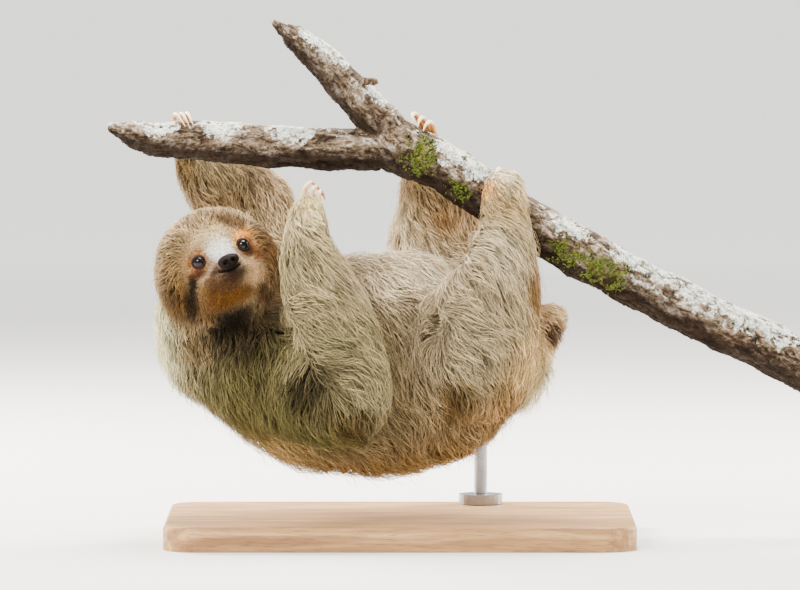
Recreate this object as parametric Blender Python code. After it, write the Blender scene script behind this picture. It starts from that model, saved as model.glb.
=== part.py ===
"""Three-toed sloth hanging from a forked branch, as a life-size still model on a plain display stand.

Units are metres and +Z is up. The origin is the centre of the base's underside. The sloth's head
points to -X, its belly faces up and its right side faces -Y. Points and radii in the tables below
are millimetres, and MM turns them into metres.

The flesh is modelled whole, as overlapping tubes that are remeshed and smoothed into one form, and
is then parted with thin cuts into the pieces a person would name. Surfaces lie at the coat's tips.
"""

import math

import bmesh
import bpy
import numpy as np
from mathutils import Matrix, Vector

MM = 0.001
GAP = 0.4 * MM                 # clearance between two pieces that meet
CUT_GAP = 0.9 * MM             # the same where two pieces of flesh meet along a curved cut
CUT_MARGIN = 8.0 * MM          # how far a parting tool stands outside the limb that it parts

FORM_VOXEL = 4.0 * MM          # grid of the remesh that joins the flesh into one form
FORM_SMOOTHING = 12            # passes that round the creases between the tubes
FORM_FACES = 2100              # triangles kept in the whole form

TOOL_VOXEL = 7.0 * MM          # the same for the tools that part the limbs from the whole
TOOL_FACES = 200
KEPT_SHARE = 0.63              # share of a parted piece's triangles that is kept

LIMB_SIDES = 20
CLAW_SIDES = 6
PERCH_SIDES = 12

# ----------------------------------------------------------------------------- driving dimensions
# Each station is a centre point, the radius in the upright plane of the path, and the radius across it.
TRUNK = (
    ((-178, 4, 183), 46, 42),
    ((-131, 2, 159), 60, 52),
    ((-88, 0, 149), 84, 61),
    ((-50, 0, 157), 99, 66),
    ((-14, 0, 160), 101, 69),
    ((18, 0, 160), 97, 69),
    ((47, 0, 158), 84, 65),
    ((73, 0, 162), 63, 56),
    ((93, 0, 168), 41, 42),
)
NECK = (
    ((-164, 0, 172), 51, 46),
    ((-176, -5, 201), 47, 43),
    ((-170, -14, 232), 37, 37),
)
TAIL = (
    ((98, 9, 170), 31, 27),
    ((124, 12, 189), 24, 21),
    ((140, 14, 202), 14.5, 13.5),
)
RIGHT_UPPER_ARM = (
    ((-124, -27, 152), 53, 43),
    ((-85, -65, 140), 47, 39),
    ((-44, -97, 134), 40, 33),
)
RIGHT_FOREARM = (
    ((-43, -99, 138), 38, 31),
    ((-47, -99, 163), 38, 31),
    ((-55, -97, 190), 38, 31),
    ((-66, -94, 216), 37, 31),
    ((-74, -88, 238), 33, 29),
    ((-82, -83, 265), 27, 24),
    ((-82.5, -79, 289), 21.5, 18),
    ((-81, -77, 305), 16, 13),
)
LEFT_UPPER_ARM = (
    ((-125, 58, 299), 32, 31),
    ((-120, 56, 267), 32, 31),
    ((-122, 45, 222), 38, 34),
    ((-116, 29, 182), 43, 38),
)
LEFT_FOREARM = (
    ((-125, 58, 300), 33, 31),
    ((-156, 52, 312), 34, 29),
    ((-178, 45, 325), 27, 24),
    ((-192, 37, 344), 17, 16),
    ((-193, 31, 359), 13, 11),
    ((-193, 23, 370), 9, 8),
    ((-193, 15, 377), 7, 6),
)
RIGHT_THIGH = (
    ((95, -27, 160), 41, 38),
    ((71, -59, 163), 51, 39),
)
RIGHT_SHANK = (
    ((71, -63, 176), 51, 38),
    ((77, -65, 209), 50, 38),
    ((84, -63, 231), 44, 36),
    ((90, -56, 257), 34, 31),
    ((94, -45, 282), 25, 23),
    ((93, -38, 302), 24.5, 17),
    ((93.5, -32, 317), 22.5, 13),
    ((93.5, -19, 326), 20, 9.5),
    ((93.5, -6, 328), 16.5, 8),
)
LEFT_THIGH = (
    ((62, 40, 181), 52, 39),
    ((42, 54, 226), 54, 37),
)
LEFT_SHANK = (
    ((42, 54, 226), 54, 37),
    ((33, 54, 267), 47, 34),
    ((31, 49, 299), 36, 29),
    ((24, 40, 324), 29, 21),
    ((24, 33, 342), 20, 14),
    ((25, 27, 358), 14, 10),
    ((26, 21, 369), 11, 8),
)

# Where a thin flat cut crosses a limb at a joint: a point on the cut and the limb's heading there.
RIGHT_ELBOW = ((-44, -98, 134), (0.69, -0.65, 0.83))
LEFT_ELBOW = ((-125, 58, 300), (-0.95, -0.08, 1.35))
RIGHT_KNEE = ((69, -62, 166), (-0.49, -0.77, 1.2))
LEFT_KNEE = ((42, 54, 226), (-0.35, 0.15, 0.95))
RIGHT_WRIST = ((-82, -80, 284), (0.0, 0.15, 1.0))
LEFT_WRIST = ((-191, 40, 341), (-0.4, -0.3, 1.0))
RIGHT_ANKLE = ((94, -38, 300), (-0.05, 0.3, 1.0))
LEFT_ANKLE = ((27, 36, 335), (-0.1, -0.35, 1.0))

HEAD_CENTRE = Vector((-164, -40, 246)) * MM
HEAD_YAW = math.radians(11.6)      # the face turns towards +X of straight ahead (-Y)
HEAD_PITCH = math.radians(10.1)    # and looks a little up
HEAD_ROLL = math.radians(20.5)     # the crown leans towards -X
HEAD_RADII = (57.5, 56.0, 50.0)    # across, up and forward, out to the tips of the hair
MUZZLE_CENTRE = (0.0, -8.5, 39.0)
MUZZLE_RADII = (19.0, 15.5, 24.0)
EYE_CENTRE = (21.0, 8.4, 39.5)     # the left eye; the right one mirrors it
EYE_RADIUS = 6.3
SOCKET_DEPTH = 4.0
SOCKET_RADIUS = 11.0
NOSE_CENTRE = (0.0, -1.1, 60.0)
NOSE_RADII = (9.7, 6.2, 5.6)
HOOD_DEPTH = 2.5                   # how far the long hair stands in front of the face at its edge
HEAD_RINGS = 17
HEAD_SIDES = 22

# The perch is a forked branch: a main limb, its dead spur beyond the fork, and a side arm.
PERCH_MAIN = (
    ((374, 0, 151.5), 23.5, 23),
    ((320, 0, 178.5), 22.8, 22.5),
    ((270, 0, 200.5), 22.7, 22),
    ((216, 0, 229.5), 22.3, 22.5),
    ((162, 0, 257.5), 22.5, 22),
    ((126, 0, 278), 22, 22),
    ((90, 0, 301), 21.5, 22),
    ((54, 0, 326), 22, 22),
    ((22, 0, 343), 23, 22),
    ((-4, 0, 355), 26, 22),
)
PERCH_SPUR = (
    ((-2, 0, 360), 17, 15),
    ((-15, 0, 374), 19, 18.5),
    ((-31, 0, 388.5), 17.5, 18),
    ((-49, 0, 408), 16.5, 17),
    ((-68, 0, 429), 15, 15),
    ((-87, 0, 446), 12, 13),
    ((-100, 0, 456), 8.5, 10),
    ((-112, 0, 464), 3.0, 5),
)
PERCH_ARM = (
    ((-8, 0, 350), 16, 16),
    ((-45, 0, 351), 19.5, 19.5),
    ((-90, 0, 353), 18.5, 18.5),
    ((-135, 0, 355), 18.5, 18.5),
    ((-180, 0, 359), 17.5, 18),
    ((-211, 0, 360), 16.5, 17),
    ((-229, 0, 361), 14.5, 16),
    ((-246, 0, 367), 9.5, 12),
    ((-257, 0, 370), 5.5, 8),
)
BARK_WOBBLE = 0.028                # share of the radius by which the bark swells and hollows

CLAWS_PER_FOOT = 3
CLAW_TAPER = 0.86                  # share of its width which a claw loses from root to tip
CLAW_TAPER_POWER = 2.2             # above 1 a claw keeps its width up to the crest
# Root, crest and tip of the first claw, the step from each of them to the next claw, and a claw's
# width across the hook and height in the plane of the hook, both at its root.
CLAW_SETS = {
    "right_hand": (
        ((-87, -79, 308), (-81, -76, 325), (-72, -58, 316)),
        ((7.2, 0.5, -1.5), (4.9, 1.0, -3.5), (2.6, 1.0, -3.9)),
        (5.9, 6.2),
    ),
    "left_hand": (
        ((-203.6, 17, 377.5), (-201, 0, 382.8), (-192.6, -13.5, 372.2)),
        ((6.0, 0, 0.5), (5.0, 0, 0.5), (3.4, 0, 0.9)),
        (5.2, 5.6),
    ),
    "right_foot": (
        ((88, -3, 333), (90.5, 12, 330.5), (90.5, 29, 307.5)),
        ((6.2, 0.3, -3.8), (5.8, 0.3, -3.8), (5.0, 0, -3.4)),
        (4.6, 5.0),
    ),
    "left_foot": (
        ((17.5, 17, 375.5), (12, 1, 383.8), (11.2, -10, 374.9)),
        ((6.6, 0.2, -3.9), (7.0, 0, -3.8), (4.8, 0, -3.5)),
        (6.4, 6.6),
    ),
}

BASE_LENGTH = 0.420
BASE_DEPTH = 0.270
BASE_THICKNESS = 0.022
BASE_CORNER = 0.030
BASE_EDGE = 0.003
POST_PLACE = Vector((0.074, 0.108))
POST_RADIUS = 0.006
POST_TOP = 0.326
FLANGE_RADIUS = 0.020
FLANGE_HEIGHT = 0.009
ARM_HEIGHT = 0.312
ARM_RADIUS = 0.005
KNUCKLE_RADIUS = 0.0105
KNUCKLE_HALF_HEIGHT = 0.013
CUP_RADIUS = 0.0095
CUP_BACK = 0.032                   # distance of the cup's back face behind the branch's centre plane
CUP_FRONT = 0.012

COLOURS = {
    "coat_grey": (0.39, 0.33, 0.23, 0.95, 0.0),
    "coat_face": (0.45, 0.35, 0.24, 0.90, 0.0),
    "eye": (0.02, 0.012, 0.008, 0.10, 0.0),
    "nose": (0.03, 0.02, 0.016, 0.45, 0.0),
    "claw": (0.62, 0.50, 0.34, 0.45, 0.0),
    "bark": (0.30, 0.24, 0.18, 0.95, 0.0),
    "oak": (0.50, 0.34, 0.20, 0.50, 0.0),
    "steel": (0.56, 0.56, 0.55, 0.32, 1.0),
}


# ----------------------------------------------------------------------------- small tools
def clear_scene():
    """Removes what the start-up scene holds."""
    for obj in list(bpy.data.objects):
        bpy.data.objects.remove(obj)


def material(name):
    """One Principled material for each finish, made on first use."""
    found = bpy.data.materials.get(name)
    if found:
        return found
    red, green, blue, roughness, metallic = COLOURS[name]
    made = bpy.data.materials.new(name)
    made.use_nodes = True
    shader = made.node_tree.nodes["Principled BSDF"]
    shader.inputs["Base Color"].default_value = (red, green, blue, 1.0)
    shader.inputs["Roughness"].default_value = roughness
    shader.inputs["Metallic"].default_value = metallic
    return made


def add_object(name, mesh, finish=None):
    """Puts a mesh into the scene as an object; without a finish it is a hidden tool."""
    obj = bpy.data.objects.new(name, mesh)
    bpy.context.scene.collection.objects.link(obj)
    if finish is None:
        obj.hide_render = True
        obj.display_type = "WIRE"
    else:
        mesh.materials.clear()
        mesh.materials.append(material(finish))
    return obj


def mesh_from(name, points, faces):
    """A mesh of triangles whose faces point outwards. Each quad is split the same way at every size."""
    triangles = [(f[0], f[k], f[k + 1]) for f in faces for k in range(1, len(f) - 1)]
    mesh = bpy.data.meshes.new(name)
    mesh.from_pydata([tuple(p) for p in points], [], triangles)
    work = bmesh.new()
    work.from_mesh(mesh)
    bmesh.ops.recalc_face_normals(work, faces=work.faces)
    work.to_mesh(mesh)
    work.free()
    return mesh


def evaluated_mesh(obj, name):
    """The mesh that an object's modifiers give, as new data."""
    bpy.context.view_layer.update()
    graph = bpy.context.evaluated_depsgraph_get()
    mesh = bpy.data.meshes.new_from_object(obj.evaluated_get(graph))
    mesh.name = name
    return mesh


def largest_island(mesh):
    """Keeps the biggest closed body of a mesh, so that a cut leaves no crumbs."""
    work = bmesh.new()
    work.from_mesh(mesh)
    left = set(work.verts)
    islands = []
    while left:
        front = [left.pop()]
        island = set(front)
        while front:
            for edge in front.pop().link_edges:
                for vertex in edge.verts:
                    if vertex in left:
                        left.discard(vertex)
                        island.add(vertex)
                        front.append(vertex)
        islands.append(island)
    islands.sort(key=len)
    crumbs = [v for island in islands[:-1] for v in island]
    bmesh.ops.delete(work, geom=crumbs, context="VERTS")
    work.to_mesh(mesh)
    work.free()
    return mesh


def boolean(mesh, tool, operation):
    """The mesh after one exact Boolean with a tool mesh."""
    body = add_object("work_body", mesh)
    cutter = add_object("work_tool", tool)
    step = body.modifiers.new("cut", "BOOLEAN")
    step.operation = operation
    step.object = cutter
    result = evaluated_mesh(body, mesh.name)
    bpy.data.objects.remove(body)
    bpy.data.objects.remove(cutter)
    return largest_island(result)


def carved(mesh, tools):
    """The mesh less each tool in turn."""
    for tool in tools:
        mesh = boolean(mesh, tool, "DIFFERENCE")
    return mesh


# ----------------------------------------------------------------------------- shapes
def smooth_path(stations, count):
    """Points and radii at `count` even steps along a Catmull-Rom curve through the stations."""
    table = np.array([(*point, *radii) for point, *radii in stations], float) * MM
    steps = np.linalg.norm(np.diff(table[:, :3], axis=0), axis=1)
    knots = np.concatenate([[0.0], np.cumsum(steps)])
    padded = np.vstack([2 * table[0] - table[1], table, 2 * table[-1] - table[-2]])
    at = np.linspace(0.0, knots[-1], count)
    span = np.clip(np.searchsorted(knots, at, side="right") - 1, 0, len(knots) - 2)
    u = ((at - knots[span]) / (knots[span + 1] - knots[span]))[:, None]
    p0, p1, p2, p3 = (padded[span + k] for k in range(4))
    curve = 0.5 * (
        2 * p1 + (p2 - p0) * u + (2 * p0 - 5 * p1 + 4 * p2 - p3) * u**2 + (3 * p1 - p0 - 3 * p2 + p3) * u**3
    )
    return curve[:, :3], np.maximum(curve[:, 3:], 0.2 * MM)


def tube(
    name,
    stations,
    rings,
    sides=LIMB_SIDES,
    grow=0.0,
    rounded=(True, True),
    across=(0, 1, 0),
    wobble=0.0,
    steps=3,
):
    """A closed tube along a path. Its section is an ellipse, with one radius across the path's upright
    plane and one along `across`. A rounded end is a half ellipsoid in `steps` rings, and any other end
    is flat."""
    centres, radii = smooth_path(stations, rings)
    radii = radii + grow
    tangents = np.gradient(centres, axis=0)
    tangents /= np.linalg.norm(tangents, axis=1, keepdims=True)
    cap_angles = np.linspace(math.pi / 2, 0.0, steps + 2)[1:-1]
    for end, is_round in ((0, rounded[0]), (-1, rounded[1])):
        if not is_round:
            continue
        heading = tangents[end] * (-1.0 if end == 0 else 1.0)
        reach = radii[end].mean()
        caps = centres[end] + np.outer(np.sin(cap_angles) * reach, heading)
        cap_radii = np.outer(np.cos(cap_angles), radii[end])
        cap_tangents = np.repeat(tangents[end][None], len(cap_angles), axis=0)
        if end == 0:
            centres = np.vstack([caps, centres])
            radii = np.vstack([cap_radii, radii])
            tangents = np.vstack([cap_tangents, tangents])
        else:
            centres = np.vstack([centres, caps[::-1]])
            radii = np.vstack([radii, cap_radii[::-1]])
            tangents = np.vstack([tangents, cap_tangents])
    side = np.array(across, float) - (tangents @ np.array(across, float))[:, None] * tangents
    side /= np.linalg.norm(side, axis=1, keepdims=True)
    up = np.cross(side, tangents)
    angle = np.linspace(0.0, 2 * math.pi, sides, endpoint=False)
    swell = 1.0 + wobble * (
        np.sin(3 * angle[None] + 9.0 * centres[:, :1] / 0.1)
        + 0.7 * np.sin(2 * angle[None] - 14.0 * centres[:, :1] / 0.1 + 1.3)
        + 0.8 * np.cos(5.0 * angle[None] + 4.0 * centres[:, :1] / 0.1)
    )
    ring = (
        centres[:, None]
        + (np.cos(angle)[None] * swell * radii[:, 1:])[:, :, None] * side[:, None]
        + (np.sin(angle)[None] * swell * radii[:, :1])[:, :, None] * up[:, None]
    )
    count = len(centres)
    points = list(ring.reshape(-1, 3))
    faces = [
        (
            i * sides + j,
            i * sides + (j + 1) % sides,
            (i + 1) * sides + (j + 1) % sides,
            (i + 1) * sides + j,
        )
        for i in range(count - 1)
        for j in range(sides)
    ]
    for end, is_round in ((0, rounded[0]), (count - 1, rounded[1])):
        outward = tangents[end] * (-1.0 if end == 0 else 1.0)
        lift = radii[end].mean() * math.tan(math.pi / 8 / (steps + 1)) if is_round else 0.0
        points.append(centres[end] + outward * lift)
        faces += [(end * sides + j, end * sides + (j + 1) % sides, len(points) - 1) for j in range(sides)]
    return mesh_from(name, points, faces)


def rod(name, start, end, radius, sides=20, grow=0.0):
    """A plain round bar between two points."""
    start, end = Vector(start), Vector(end)
    along = end - start
    work = bmesh.new()
    bmesh.ops.create_cone(
        work,
        cap_ends=True,
        segments=sides,
        radius1=radius + grow,
        radius2=radius + grow,
        depth=along.length + 2 * grow,
        matrix=Matrix.Translation((start + end) / 2) @ along.to_track_quat("Z", "Y").to_matrix().to_4x4(),
    )
    mesh = bpy.data.meshes.new(name)
    work.to_mesh(mesh)
    work.free()
    return mesh


# ----------------------------------------------------------------------------- head
def head_axes():
    """The head's own axes as columns: across (to its left), up and forward."""
    forward = Vector(
        (
            math.sin(HEAD_YAW) * math.cos(HEAD_PITCH),
            -math.cos(HEAD_YAW) * math.cos(HEAD_PITCH),
            math.sin(HEAD_PITCH),
        )
    )
    across = Vector((0, 0, -1)).cross(forward).normalized()
    up = across.cross(-forward).normalized()
    roll = Matrix.Rotation(HEAD_ROLL, 3, forward)
    across, up = roll @ across, roll @ up
    if up.z < 0:
        across, up = -across, -up
    return Matrix((across, up, forward)).transposed()


def in_head(place):
    """A point of the head's own axes, in millimetres, as a point of the model."""
    return HEAD_CENTRE + head_axes() @ (Vector(place) * MM)


def ray_to_ellipsoid(direction, centre, radii):
    """How far rays from the head's centre run to the far side of an ellipsoid; zero where they miss."""
    scaled = direction / radii
    offset = np.array(centre) / radii
    a = (scaled**2).sum(-1)
    b = (scaled * offset).sum(-1)
    c = (offset**2).sum() - 1.0
    inside = b**2 - a * c
    return np.where(inside > 0, (b + np.sqrt(np.maximum(inside, 0.0))) / a, 0.0)


def head_radius(direction):
    """Distance from the head's centre to its surface along unit rays, in millimetres.

    An ellipsoid skull and a short muzzle blend into each other; the face sits a little behind the
    hood of long hair around it, and the eyes lie in shallow sockets."""
    skull = ray_to_ellipsoid(direction, (0, 0, 0), np.array(HEAD_RADII))
    muzzle = ray_to_ellipsoid(direction, MUZZLE_CENTRE, np.array(MUZZLE_RADII))
    blend = 3.0
    radius = blend * np.log(np.exp(skull / blend) + np.exp(np.maximum(muzzle, 1.0) / blend))
    from_front = np.degrees(np.arccos(np.clip(direction[..., 2], -1, 1)))
    radius = radius - HOOD_DEPTH * np.exp(-(((from_front - 40.0) / 15.0) ** 2))
    place = direction * radius[..., None]
    for side in (-1, 1):
        eye = np.array((side * EYE_CENTRE[0], EYE_CENTRE[1], EYE_CENTRE[2] + 6.0))
        away = np.linalg.norm(place - eye, axis=-1)
        radius = radius - SOCKET_DEPTH * np.exp(-((away / SOCKET_RADIUS) ** 2))
    return radius


def head_mesh(name, grow=0.0):
    """The head as rings round its forward axis, closer together on the face."""
    steps = np.linspace(0.0, 1.0, HEAD_RINGS + 2)[1:-1]
    polar = math.pi * steps**1.25
    turn = np.linspace(0.0, 2 * math.pi, HEAD_SIDES, endpoint=False)
    a, b = np.meshgrid(polar, turn, indexing="ij")
    direction = np.stack([np.sin(a) * np.cos(b), np.sin(a) * np.sin(b), np.cos(a)], axis=-1)
    poles = np.array([(0.0, 0.0, 1.0), (0.0, 0.0, -1.0)])
    axes = np.array(head_axes())
    centre = np.array(HEAD_CENTRE)

    def placed(rays):
        return centre + (rays * (head_radius(rays) * MM + grow)[..., None]) @ axes.T

    points = list(placed(direction).reshape(-1, 3)) + list(placed(poles))
    n = HEAD_SIDES
    faces = [
        (i * n + j, i * n + (j + 1) % n, (i + 1) * n + (j + 1) % n, (i + 1) * n + j)
        for i in range(HEAD_RINGS - 1)
        for j in range(n)
    ]
    faces += [(j, (j + 1) % n, HEAD_RINGS * n) for j in range(n)]
    last = (HEAD_RINGS - 1) * n
    faces += [(last + j, last + (j + 1) % n, HEAD_RINGS * n + 1) for j in range(n)]
    return mesh_from(name, points, faces)


def ellipsoid(name, centre, radii, rings, sides, grow=0.0):
    """An ellipsoid in the head's own axes."""
    work = bmesh.new()
    bmesh.ops.create_uvsphere(work, u_segments=sides, v_segments=rings, radius=1.0)
    size = Matrix.Diagonal([r * MM + grow for r in radii]).to_4x4()
    place = Matrix.Translation(in_head(centre)) @ head_axes().to_4x4() @ size
    bmesh.ops.transform(work, matrix=place, verts=work.verts)
    mesh = bpy.data.meshes.new(name)
    work.to_mesh(mesh)
    work.free()
    return mesh


def eye_mesh(name, side, grow=0.0):
    """One eyeball; side is 1 for the left and -1 for the right."""
    centre = (side * EYE_CENTRE[0], EYE_CENTRE[1], EYE_CENTRE[2])
    return ellipsoid(name, centre, (EYE_RADIUS,) * 3, rings=8, sides=12, grow=grow)


def nose_mesh(name, grow=0.0):
    """The bare pad of the nose."""
    return ellipsoid(name, NOSE_CENTRE, NOSE_RADII, rings=7, sides=12, grow=grow)


def build_head():
    """The head, with its eyes and nose let into it."""
    tools = [eye_mesh("tool", side, GAP) for side in (-1, 1)] + [nose_mesh("tool", GAP)]
    add_object("head", carved(head_mesh("head"), tools), "coat_face")
    add_object("eye_left", eye_mesh("eye_left", 1), "eye")
    add_object("eye_right", eye_mesh("eye_right", -1), "eye")
    add_object("nose", nose_mesh("nose"), "nose")


# ----------------------------------------------------------------------------- perch
PERCH_PIECES = {
    "perch_main": (PERCH_MAIN, 19, (False, True)),
    "perch_spur": (PERCH_SPUR, 10, (True, True)),
    "perch_side_arm": (PERCH_ARM, 13, (True, True)),
}


def perch_mesh(name, grow=0.0):
    """One limb of the branch, with bark that swells and hollows along it."""
    stations, rings, rounded = PERCH_PIECES[name]
    return tube(name, stations, rings, PERCH_SIDES, grow, rounded, wobble=BARK_WOBBLE, steps=2)


def build_perch():
    """The forked branch. The spur and the side arm butt against the main limb."""
    main = perch_mesh("perch_main")
    spur = carved(perch_mesh("perch_spur"), [perch_mesh("perch_main", GAP)])
    arm = carved(perch_mesh("perch_side_arm"), [perch_mesh("perch_main", GAP), perch_mesh("perch_spur", GAP)])
    for name, mesh in (("perch_main", main), ("perch_spur", spur), ("perch_side_arm", arm)):
        add_object(name, mesh, "bark")


# ----------------------------------------------------------------------------- claws
def claw_mesh(name, foot, index, grow=0.0):
    """One hooked claw of a hand or foot: a tapering oval section along a parabola from root over
    crest to tip."""
    first, steps, (width, height) = CLAW_SETS[foot]
    root, crest, tip = np.array(first, float) + np.array(steps, float) * index
    control = 2 * crest - (root + tip) / 2
    t = np.linspace(-0.12, 1.0, 9)[:, None]
    path = (1 - t) ** 2 * root + 2 * t * (1 - t) * control + t**2 * tip
    taper = (1.0 - CLAW_TAPER * np.maximum(t, 0.0) ** CLAW_TAPER_POWER).ravel()
    stations = [(tuple(p), height / 2 * k, width / 2 * k) for p, k in zip(path, taper)]
    across = np.cross(crest - root, tip - crest)
    return tube(name, stations, 6, CLAW_SIDES, grow, across=across / np.linalg.norm(across), steps=1)


def claw_tools(foot):
    """Slightly larger claws, which cut their sockets in a hand or foot."""
    return [claw_mesh("tool", foot, k, grow=GAP) for k in range(CLAWS_PER_FOOT)]


def build_claws():
    """Three claws on each hand and foot."""
    for foot in CLAW_SETS:
        for k in range(CLAWS_PER_FOOT):
            name = f"claw_{foot}_{k + 1}"
            add_object(name, claw_mesh(name, foot, k), "claw")


# ----------------------------------------------------------------------------- flesh
FLESH = {
    "trunk": (TRUNK, 22),
    "neck": (NECK, 10),
    "tail": (TAIL, 8),
    "upper_arm_right": (RIGHT_UPPER_ARM, 10),
    "forearm_right": (RIGHT_FOREARM, 18),
    "upper_arm_left": (LEFT_UPPER_ARM, 12),
    "forearm_left": (LEFT_FOREARM, 16),
    "thigh_right": (RIGHT_THIGH, 8),
    "shank_right": (RIGHT_SHANK, 18),
    "thigh_left": (LEFT_THIGH, 8),
    "shank_left": (LEFT_SHANK, 18),
}
# The limbs in the order in which they are parted from the whole; what is left is the trunk. Each
# one is then cut flat across at its joints, from the body outwards, and may end in a hand or foot.
LIMBS = (
    (("upper_arm_right", "forearm_right"), (RIGHT_ELBOW, RIGHT_WRIST), "hand_right"),
    (("upper_arm_left", "forearm_left"), (LEFT_ELBOW, LEFT_WRIST), "hand_left"),
    (("thigh_right", "shank_right"), (RIGHT_KNEE, RIGHT_ANKLE), "foot_right"),
    (("thigh_left", "shank_left"), (LEFT_KNEE, LEFT_ANKLE), "foot_left"),
    (("tail",), (), None),
    (("neck",), (), None),
)
CLAWED = {
    "hand_right": "right_hand",
    "hand_left": "left_hand",
    "foot_right": "right_foot",
    "foot_left": "left_foot",
}
GRIPPING = ("forearm_left", "hand_left", "shank_right", "foot_right", "shank_left", "foot_left")
BESIDE_HEAD = ("neck", "trunk", "upper_arm_right", "upper_arm_left", "forearm_left", "forearm_right")


def thinned(mesh, share):
    """A mesh with the given share of its triangles, kept where the surface bends most."""
    body = add_object("work_body", mesh)
    fewer = body.modifiers.new("fewer", "DECIMATE")
    fewer.ratio = share
    fewer.use_collapse_triangulate = True
    result = evaluated_mesh(body, mesh.name)
    bpy.data.objects.remove(body)
    return result


def merged(names, grow, voxel, passes, faces):
    """Tubes of the named parts joined by a remesh, rounded where they meet, and thinned to `faces`."""
    joined = bmesh.new()
    for name in names:
        stations, rings = FLESH[name]
        joined.from_mesh(tube(name, stations, rings, grow=grow))
    mesh = bpy.data.meshes.new("tubes")
    joined.to_mesh(mesh)
    joined.free()
    form = add_object("form", mesh)
    remesh = form.modifiers.new("join", "REMESH")
    remesh.mode = "VOXEL"
    remesh.voxel_size = voxel
    smooth = form.modifiers.new("round", "SMOOTH")
    smooth.factor = 0.5
    smooth.iterations = passes
    dense = evaluated_mesh(form, "dense")
    bpy.data.objects.remove(form)
    return thinned(largest_island(dense), faces / (2 * len(dense.polygons)))


def inflated(mesh, distance):
    """A copy of a mesh with its surface moved outwards."""
    swollen = mesh.copy()
    places = np.array([v.co for v in mesh.vertices])
    outward = np.array([v.normal for v in mesh.vertices])
    swollen.vertices.foreach_set("co", (places + outward * distance).ravel())
    return swollen


def half_of(mesh, point, heading, keep_beyond):
    """The part of a mesh beyond or before a flat cut, closed where it was cut."""
    normal = Vector(heading).normalized()
    place = Vector(point) * MM + normal * (GAP / 2 if keep_beyond else -GAP / 2)
    work = bmesh.new()
    work.from_mesh(mesh)
    cut = bmesh.ops.bisect_plane(
        work,
        geom=list(work.verts) + list(work.edges) + list(work.faces),
        plane_co=place,
        plane_no=normal,
        clear_inner=keep_beyond,
        clear_outer=not keep_beyond,
    )
    edges = [g for g in cut["geom_cut"] if isinstance(g, bmesh.types.BMEdge)]
    filled = bmesh.ops.holes_fill(work, edges=edges)
    bmesh.ops.triangulate(work, faces=filled["faces"])
    bmesh.ops.recalc_face_normals(work, faces=work.faces)
    half = bpy.data.meshes.new("half")
    work.to_mesh(half)
    work.free()
    return largest_island(half)


def part_flesh():
    """Cuts the whole form into named pieces, each a closed mesh, with thin gaps between them."""
    rest = merged(FLESH, 0.0, FORM_VOXEL, FORM_SMOOTHING, FORM_FACES)
    pieces = {}
    for regions, joints, end in LIMBS:
        region = merged(regions, CUT_MARGIN, TOOL_VOXEL, 2, TOOL_FACES)
        limb = boolean(rest.copy(), region.copy(), "INTERSECT")
        rest = boolean(rest, inflated(region, CUT_GAP), "DIFFERENCE")
        for name, (point, heading) in zip(regions, joints):
            pieces[name] = half_of(limb, point, heading, keep_beyond=False)
            limb = half_of(limb, point, heading, keep_beyond=True)
        pieces[end or regions[-1]] = limb
    pieces["trunk"] = rest
    return pieces


def build_flesh():
    """Every piece of flesh, clear of the head, the perch and the claws."""
    for name, mesh in part_flesh().items():
        tools = []
        if name in BESIDE_HEAD:
            tools.append(head_mesh("tool", CUT_GAP))
        if name in GRIPPING:
            tools += [perch_mesh(limb, CUT_GAP) for limb in ("perch_main", "perch_side_arm")]
        if name in CLAWED:
            tools += claw_tools(CLAWED[name])
        piece = carved(thinned(mesh, KEPT_SHARE), tools)
        piece.name = name
        obj = add_object(name, piece, "coat_grey")
        obj.data.shade_smooth()


# ----------------------------------------------------------------------------- stand
def base_outline():
    """The base's outline, a rectangle with round corners, as points in order."""
    half_x, half_y = BASE_LENGTH / 2 - BASE_CORNER, BASE_DEPTH / 2 - BASE_CORNER
    corners = ((half_x, half_y, 0), (-half_x, half_y, 90), (-half_x, -half_y, 180), (half_x, -half_y, 270))
    return [
        (
            x + BASE_CORNER * math.cos(math.radians(start + step)),
            y + BASE_CORNER * math.sin(math.radians(start + step)),
        )
        for x, y, start in corners
        for step in range(0, 91, 15)
    ]


def build_base():
    """The flat base, with its upper edge eased."""
    work = bmesh.new()
    floor = work.faces.new([work.verts.new((x, y, 0.0)) for x, y in base_outline()])
    raised = bmesh.ops.extrude_face_region(work, geom=[floor])
    top = [v for v in raised["geom"] if isinstance(v, bmesh.types.BMVert)]
    bmesh.ops.translate(work, verts=top, vec=(0, 0, BASE_THICKNESS))
    bmesh.ops.recalc_face_normals(work, faces=work.faces)
    rim = [e for e in work.edges if all(v.co.z > BASE_THICKNESS / 2 for v in e.verts)]
    bmesh.ops.bevel(work, geom=rim, offset=BASE_EDGE, segments=2, affect="EDGES", profile=0.5)
    mesh = bpy.data.meshes.new("stand_base")
    work.to_mesh(mesh)
    work.free()
    add_object("stand_base", mesh, "oak")


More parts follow.
